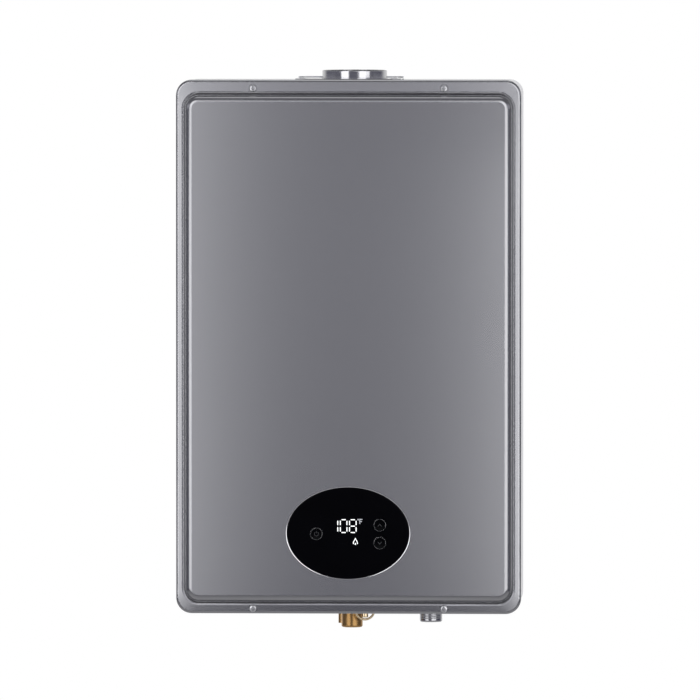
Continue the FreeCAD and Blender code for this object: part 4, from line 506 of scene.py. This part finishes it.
# %% Cross-recess screws
CROSS_POINTS = 48
CROSS_REACH, CROSS_HALF = 0.56, 0.14
DOME = ((0.66, 0.95), (0.8, 0.84), (0.9, 0.68), (0.97, 0.46), (1.0, 0.25), (1.0, 0.0))
TIP_BEVEL = 0.4


def cross_outline(reach, half):
    """Forty-eight points round a plus sign, starting at the right-hand tip."""
    signs = [(reach, half), (half, half), (half, reach), (-half, reach), (-half, half),
             (-reach, half), (-reach, -half), (-half, -half), (-half, -reach), (half, -reach),
             (half, -half), (reach, -half)]
    share = CROSS_POINTS // len(signs)
    points = []
    for (ax, ay), (bx, by) in zip(signs, signs[1:] + signs[:1]):
        points += [(ax + (bx - ax) * i / share, ay + (by - ay) * i / share) for i in range(share)]
    return points


def pan_head(bm, seat, axis, head_r, head_t, shank_r, shank_l):
    """One screw whose head stands on seat and points along axis."""
    turn = Vector((0, 0, 1)).rotation_difference(Vector(axis)).to_matrix()
    reach, half = CROSS_REACH * head_r, CROSS_HALF * head_r
    first = math.atan2(half, reach)
    rows = []

    def row(points, height):
        rows.append([bm.verts.new(Vector(seat) + turn @ Vector((x, y, height))) for x, y in points])

    def circle(r, height):
        turns = [first + math.tau * i / CROSS_POINTS for i in range(CROSS_POINTS)]
        row([(r * math.cos(t), r * math.sin(t)) for t in turns], height)

    row(cross_outline(reach * 0.62, half * 0.55), head_t * 0.3)
    row(cross_outline(reach * 0.94, half * 0.85), head_t * 0.86)
    row(cross_outline(reach, half), head_t * 0.96)
    for r, height in DOME:
        circle(r * head_r, height * head_t)
    circle(shank_r, 0.0)
    circle(shank_r, TIP_BEVEL - shank_l)
    circle(shank_r - TIP_BEVEL, -shank_l)
    for lower, upper in zip(rows, rows[1:]):
        for i in range(CROSS_POINTS):
            j = (i + 1) % CROSS_POINTS
            bm.faces.new((lower[i], lower[j], upper[j], upper[i]))
    bm.faces.new(rows[0])
    bm.faces.new(rows[-1])
    bmesh.ops.recalc_face_normals(bm, faces=bm.faces)


# %% Screws of the cover and of the flue plate
low, high = corners("cover_screws")
HEAD_R, HEAD_T, SHANK_R = 4.0, 1.9, 2.0
bm = bmesh.new()
for x in (low.x + HEAD_R, high.x - HEAD_R):
    for z in (low.z + HEAD_R, high.z - HEAD_R):
        pan_head(bm, (x, low.y + HEAD_T, z), (0, -1, 0), HEAD_R, HEAD_T, SHANK_R,
                 high.y - low.y - HEAD_T)
heads = to_object(bm, "cover_screw_heads", screw_steel, smooth=35.0)
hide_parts("cover_screws")

low, high = corners("flue_plate_screws")
HEAD_R, HEAD_T, SHANK_R, FLAT_T = 3.6, 1.6, 1.9, 0.8
bm = bmesh.new()
for x in (low.x + HEAD_R, high.x - HEAD_R):
    for y in (low.y + HEAD_R, high.y - HEAD_R):
        pan_head(bm, (x, y, high.z - HEAD_T), (0, 0, 1), HEAD_R, FLAT_T, SHANK_R,
                 high.z - low.z - HEAD_T)
heads = to_object(bm, "flue_plate_screw_heads", screw_steel, smooth=35.0)
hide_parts("flue_plate_screws")

# %% [markdown]
# ### Rear edge of the flue plate
# The plate is folded up along its back, and from the front that edge shows as a thin grey line
# above the plate. It is one flat outline that follows the plate's cut corners, extruded upwards.

# %% Raised rear edge of the flue plate
low, high = corners("flue_plate")
CUT, LIP_W, LIP_H, LIP_ROOT = 9.0, 1.3, 1.1, 0.2
slant = CUT + LIP_W * (math.sqrt(2) - 1)
outer = [(high.x, high.y - CUT), (high.x - CUT, high.y)]
inner = [(high.x - LIP_W * math.sqrt(2), high.y - CUT), (high.x - slant, high.y - LIP_W)]
outer += [(low.x + high.x - x, y) for x, y in reversed(outer)]
inner += [(low.x + high.x - x, y) for x, y in reversed(inner)]
bm = bmesh.new()
foot = [bm.verts.new((x, y, high.z - LIP_ROOT)) for x, y in outer + inner[::-1]]
made = bmesh.ops.extrude_face_region(bm, geom=[bm.faces.new(foot)])
lifted = [g for g in made["geom"] if isinstance(g, bmesh.types.BMVert)]
bmesh.ops.translate(bm, vec=(0, 0, LIP_H + LIP_ROOT), verts=lifted)
bmesh.ops.recalc_face_normals(bm, faces=bm.faces)
to_object(bm, "flue_plate_edge", galvanised, smooth=30.0)

# %% [markdown]
# ### Thread of the gas fitting
# The thread is one V-shaped ridge, spun round the neck while it climbs by its pitch. It is fine
# and worn flat at its crest, so it only breaks the reflections on the neck.

# %% Pipe thread
THREAD_R, THREAD_DEPTH, THREAD_PITCH, THREAD_END = 12.55, 0.2, 1.814, 2.2


def thread(bm, x, y, low, high, r, depth, pitch, steps=40):
    """A V-shaped ridge that climbs round a neck from low to high."""
    turns = (high - low) / pitch - 1
    ridge = [(0.0, -0.46), (0.75 * depth, -0.14), (depth, -0.04), (depth, 0.04),
             (0.75 * depth, 0.14), (0.0, 0.46)]
    start = low + pitch / 2
    points = [bm.verts.new((x + r + out, y, start + rise * pitch)) for out, rise in ridge]
    face = bm.faces.new(points)
    count = int(turns * steps)
    bmesh.ops.spin(bm, geom=points + list(face.edges) + [face], cent=(x, y, 0), axis=(0, 0, 1),
                   dvec=(0, 0, pitch / steps), angle=math.tau * count / steps, steps=count,
                   use_merge=False)
    bmesh.ops.recalc_face_normals(bm, faces=bm.faces)


case_low, case_high = corners("rear_case")
low, high = corners("gas_inlet_fitting")
centre = (low + high) / 2
bm = bmesh.new()
thread(bm, centre.x, centre.y, low.z + THREAD_END, case_low.z - THREAD_END, THREAD_R,
       THREAD_DEPTH, THREAD_PITCH)
to_object(bm, "gas_thread", fitting_steel, smooth=60.0)

# %% [markdown]
# ## Stage, lights and camera
# The studio is plain: a pale floor below the hanging heater, a soft white surrounding, and two
# tall soft boxes in front at the left and right. They stand close, so a brushed panel is bright
# at both sides and falls off to the middle, and a round collar shows them as two bright bands.

# %% Share of the white background


def background_share(nodes, links, mask):
    """How much of the white background a ray shows: 1 for camera rays, and the mask, which is a
    socket or a plain number, for glossy and transmitted rays."""
    path = nodes.new("ShaderNodeLightPath")
    bounced = nodes.new("ShaderNodeMath")
    bounced.operation = "MAXIMUM"
    links.new(path.outputs["Is Glossy Ray"], bounced.inputs[0])
    links.new(path.outputs["Is Transmission Ray"], bounced.inputs[1])
    masked = nodes.new("ShaderNodeMath")
    masked.operation = "MULTIPLY"
    links.new(bounced.outputs["Value"], masked.inputs[0])
    if isinstance(mask, float):
        masked.inputs[1].default_value = mask
    else:
        links.new(mask, masked.inputs[1])
    seen = nodes.new("ShaderNodeMath")
    seen.operation = "MAXIMUM"
    links.new(path.outputs["Is Camera Ray"], seen.inputs[0])
    links.new(masked.outputs["Value"], seen.inputs[1])
    return seen.outputs["Value"]


# %% [markdown]
# ### Floor
# The floor is a pale disc far below. Its own light makes it white for the camera, and much less
# of that light shows in metal. It is see-through from below, so a view from under the heater
# isn't blocked by it.

# %% Floor
FLOOR_R, FLOOR_Z, FLOOR_STEPS = 2200.0, -1100.0, 96
FLOOR_GREY, FLOOR_GLOW, FLOOR_MIRRORED = 0.70, 0.7, 0.14
bm = bmesh.new()
bmesh.ops.create_circle(bm, cap_ends=True, segments=FLOOR_STEPS, radius=FLOOR_R)
bm.normal_update()
if bm.faces[:][0].normal.z < 0:
    bmesh.ops.reverse_faces(bm, faces=bm.faces)
bmesh.ops.translate(bm, vec=(0, 0, FLOOR_Z), verts=bm.verts)
bmesh.ops.scale(bm, vec=(MM, MM, MM), verts=bm.verts)
floor_mesh = bpy.data.meshes.new("floor")
bm.to_mesh(floor_mesh)
bm.free()
floor = bpy.data.objects.new("floor", floor_mesh)
bpy.context.scene.collection.objects.link(floor)
pale = bpy.data.materials.new("pale_floor")
pale.use_nodes = True
nodes, links = pale.node_tree.nodes, pale.node_tree.links
shader = nodes["Principled BSDF"]
shader.inputs["Base Color"].default_value = (FLOOR_GREY, FLOOR_GREY, FLOOR_GREY, 1.0)
shader.inputs["Roughness"].default_value = 0.9
shader.inputs["Emission Color"].default_value = (1.0, 1.0, 1.0, 1.0)
own_light = nodes.new("ShaderNodeMath")
own_light.operation = "MULTIPLY"
own_light.inputs[1].default_value = FLOOR_GLOW
links.new(background_share(nodes, links, FLOOR_MIRRORED), own_light.inputs[0])
links.new(own_light.outputs["Value"], shader.inputs["Emission Strength"])
one_sided = nodes.new("ShaderNodeMixShader")
links.new(nodes.new("ShaderNodeNewGeometry").outputs["Backfacing"], one_sided.inputs["Fac"])
links.new(shader.outputs["BSDF"], one_sided.inputs[1])
links.new(nodes.new("ShaderNodeBsdfTransparent").outputs["BSDF"], one_sided.inputs[2])
links.new(one_sided.outputs["Shader"], nodes["Material Output"].inputs["Surface"])
floor_mesh.materials.append(pale)
print("floor", FLOOR_R, "mm in radius at", FLOOR_Z)

# %% [markdown]
# ### Surrounding
# The room is a world of soft bands: dark low in front, bright above the horizon, a greyer ceiling,
# and white behind the heater. A band is a soft step along one axis of the ray's direction, so
# metal shows a room with a horizon and not a flat grey.

# %% Bands of the room
world = bpy.data.worlds.new("studio")
bpy.context.scene.world = world
world.use_nodes = True
nodes, links = world.node_tree.nodes, world.node_tree.links
nodes.clear()
output = nodes.new("ShaderNodeOutputWorld")
direction = nodes.new("ShaderNodeTexCoord")
split = nodes.new("ShaderNodeSeparateXYZ")
links.new(direction.outputs["Generated"], split.inputs["Vector"])


def rise(value, start, end):
    """From 0 to 1, softly, while value goes from start to end."""
    ramp = nodes.new("ShaderNodeMapRange")
    ramp.interpolation_type = "SMOOTHSTEP"
    ramp.inputs["From Min"].default_value = start
    ramp.inputs["From Max"].default_value = end
    links.new(value, ramp.inputs["Value"])
    return ramp.outputs["Result"]


def band(value, start, end, low, high):
    """Soft change from colour low to colour high while value goes from start to end."""
    mix = nodes.new("ShaderNodeMix")
    mix.data_type = "RGBA"
    links.new(rise(value, start, end), mix.inputs["Factor"])
    for socket, colour in (("A", low), ("B", high)):
        if isinstance(colour, tuple):
            mix.inputs[socket].default_value = (*colour, 1.0)
        else:
            links.new(colour, mix.inputs[socket])
    return mix.outputs["Result"]


# %% Surrounding
FRONT_LOW = (0.07, 0.07, 0.11)
FRONT_HIGH = (0.78, 0.78, 0.86)
CEILING = (0.27, 0.27, 0.30)
BEHIND = (0.95, 0.95, 0.95)
front = band(split.outputs["Z"], -0.08, 0.16, FRONT_LOW, FRONT_HIGH)
ceiling = band(split.outputs["Z"], 0.20, 0.50, front, CEILING)
room = band(split.outputs["Y"], 0.30, 0.80, ceiling, BEHIND)
soft = nodes.new("ShaderNodeBackground")
soft.inputs["Strength"].default_value = 1.0
links.new(room, soft.inputs["Color"])
white = nodes.new("ShaderNodeBackground")
white.inputs["Color"].default_value = (1.0, 1.0, 1.0, 1.0)
choose = nodes.new("ShaderNodeMixShader")
behind = rise(split.outputs["Y"], 0.45, 0.95)
links.new(background_share(nodes, links, behind), choose.inputs["Fac"])
links.new(soft.outputs["Background"], choose.inputs[1])
links.new(white.outputs["Background"], choose.inputs[2])
links.new(choose.outputs["Shader"], output.inputs["Surface"])
print("world", world.name, "with", len(nodes), "nodes")

# %% [markdown]
# ### Soft boxes
# The two front boxes give the panel its bright sides. At the height that the collar mirrors the
# right one is cut and stretched into a strip, so the collar's right band stands where the photo
# has it, and lower wings further out light the rounded border and the fold round the panel. All
# of them have the same brightness per square metre. One weak box above lights the top plate.

# %% Soft boxes


def soft_box(name, place, target, width, height, watts, colour=(1.0, 1.0, 1.0)):
    """A rectangular lamp at place that faces target, all in millimetres."""
    lamp = bpy.data.lights.new(name, "AREA")
    lamp.shape = "RECTANGLE"
    lamp.size, lamp.size_y = width * MM, height * MM
    lamp.energy = watts
    lamp.color = colour
    stand = bpy.data.objects.new(name, lamp)
    stand.location = Vector(place) * MM
    aim = Vector(target) - Vector(place)
    stand.rotation_euler = aim.to_track_quat("-Z", "Y").to_euler()
    stand.visible_camera = False
    bpy.context.scene.collection.objects.link(stand)
    return stand


MIDDLE = Vector((0.0, -150.0, -248.0))
TOP_BOX_PLACE, TOP_BOX_SIDE, TOP_BOX_WATTS = (0.0, 100.0, 1300.0), 1200.0, 4.0
BOX_Y, BOX_Z, BOX_H, BOX_GLOW = -900.0, -60.0, 1220.0, 7.1
COLLAR_Z, COLLAR_BAND = 8.0, 96.0
BOX_TOP, BOX_FOOT = BOX_Z + BOX_H / 2, BOX_Z - BOX_H / 2
BAND_TOP, BAND_FOOT = COLLAR_Z + COLLAR_BAND / 2, COLLAR_Z - COLLAR_BAND / 2
FRONT_BOXES = (("left_box", -830.0, -270.0, BOX_FOOT, BOX_TOP),
               ("right_box_low", 200.0, 760.0, BOX_FOOT, BAND_FOOT),
               ("right_strip", 285.0, 1255.0, BAND_FOOT, BAND_TOP),
               ("right_box_high", 200.0, 760.0, BAND_TOP, BOX_TOP),
               ("left_wing", -1250.0, -830.0, BOX_FOOT, BAND_FOOT),
               ("right_wing", 760.0, 1350.0, BOX_FOOT, BAND_FOOT))
for name, x0, x1, z0, z1 in FRONT_BOXES:
    x, z, height = (x0 + x1) / 2, (z0 + z1) / 2, z1 - z0
    watts = BOX_GLOW * (x1 - x0) * height * MM * MM
    soft_box(name, (x, BOX_Y, z), (x, 0.0, z), x1 - x0, height, watts)
soft_box("top_box", TOP_BOX_PLACE, MIDDLE, TOP_BOX_SIDE, TOP_BOX_SIDE, TOP_BOX_WATTS)
print(len(FRONT_BOXES) + 1, "soft boxes")

# %% [markdown]
# ### Camera
# The photo is taken from far away, a little from the right and from above: the case's right side
# and its top just show. A long lens at 14 m gives that flat look. The frame is as wide as 700
# pixels at the photo's millimetres per pixel.

# %% Camera
MM_PER_PIXEL, FRAME_PIXELS = 1.1227, 700
CAMERA_FAR, SENSOR_W = 14000.0, 36.0
AZIMUTH, ELEVATION = math.radians(2.7), math.radians(2.5)
frame_w = FRAME_PIXELS * MM_PER_PIXEL
aim = Vector((1.8, -148.2, -251.3))
back = Vector((math.sin(AZIMUTH) * math.cos(ELEVATION), -math.cos(AZIMUTH) * math.cos(ELEVATION),
               math.sin(ELEVATION)))
camera_data = bpy.data.cameras.new("camera")
camera_data.sensor_width = SENSOR_W
camera_data.lens = SENSOR_W * CAMERA_FAR / frame_w
camera_data.clip_start = 1.0
camera_data.clip_end = 200.0
camera = bpy.data.objects.new("camera", camera_data)
camera.location = (aim + back * CAMERA_FAR) * MM
camera.rotation_euler = (-back).to_track_quat("-Z", "Y").to_euler()
bpy.context.scene.collection.objects.link(camera)
bpy.context.scene.camera = camera
bpy.context.scene.view_settings.view_transform = "Standard"
print("lens", round(camera_data.lens, 1), "mm")
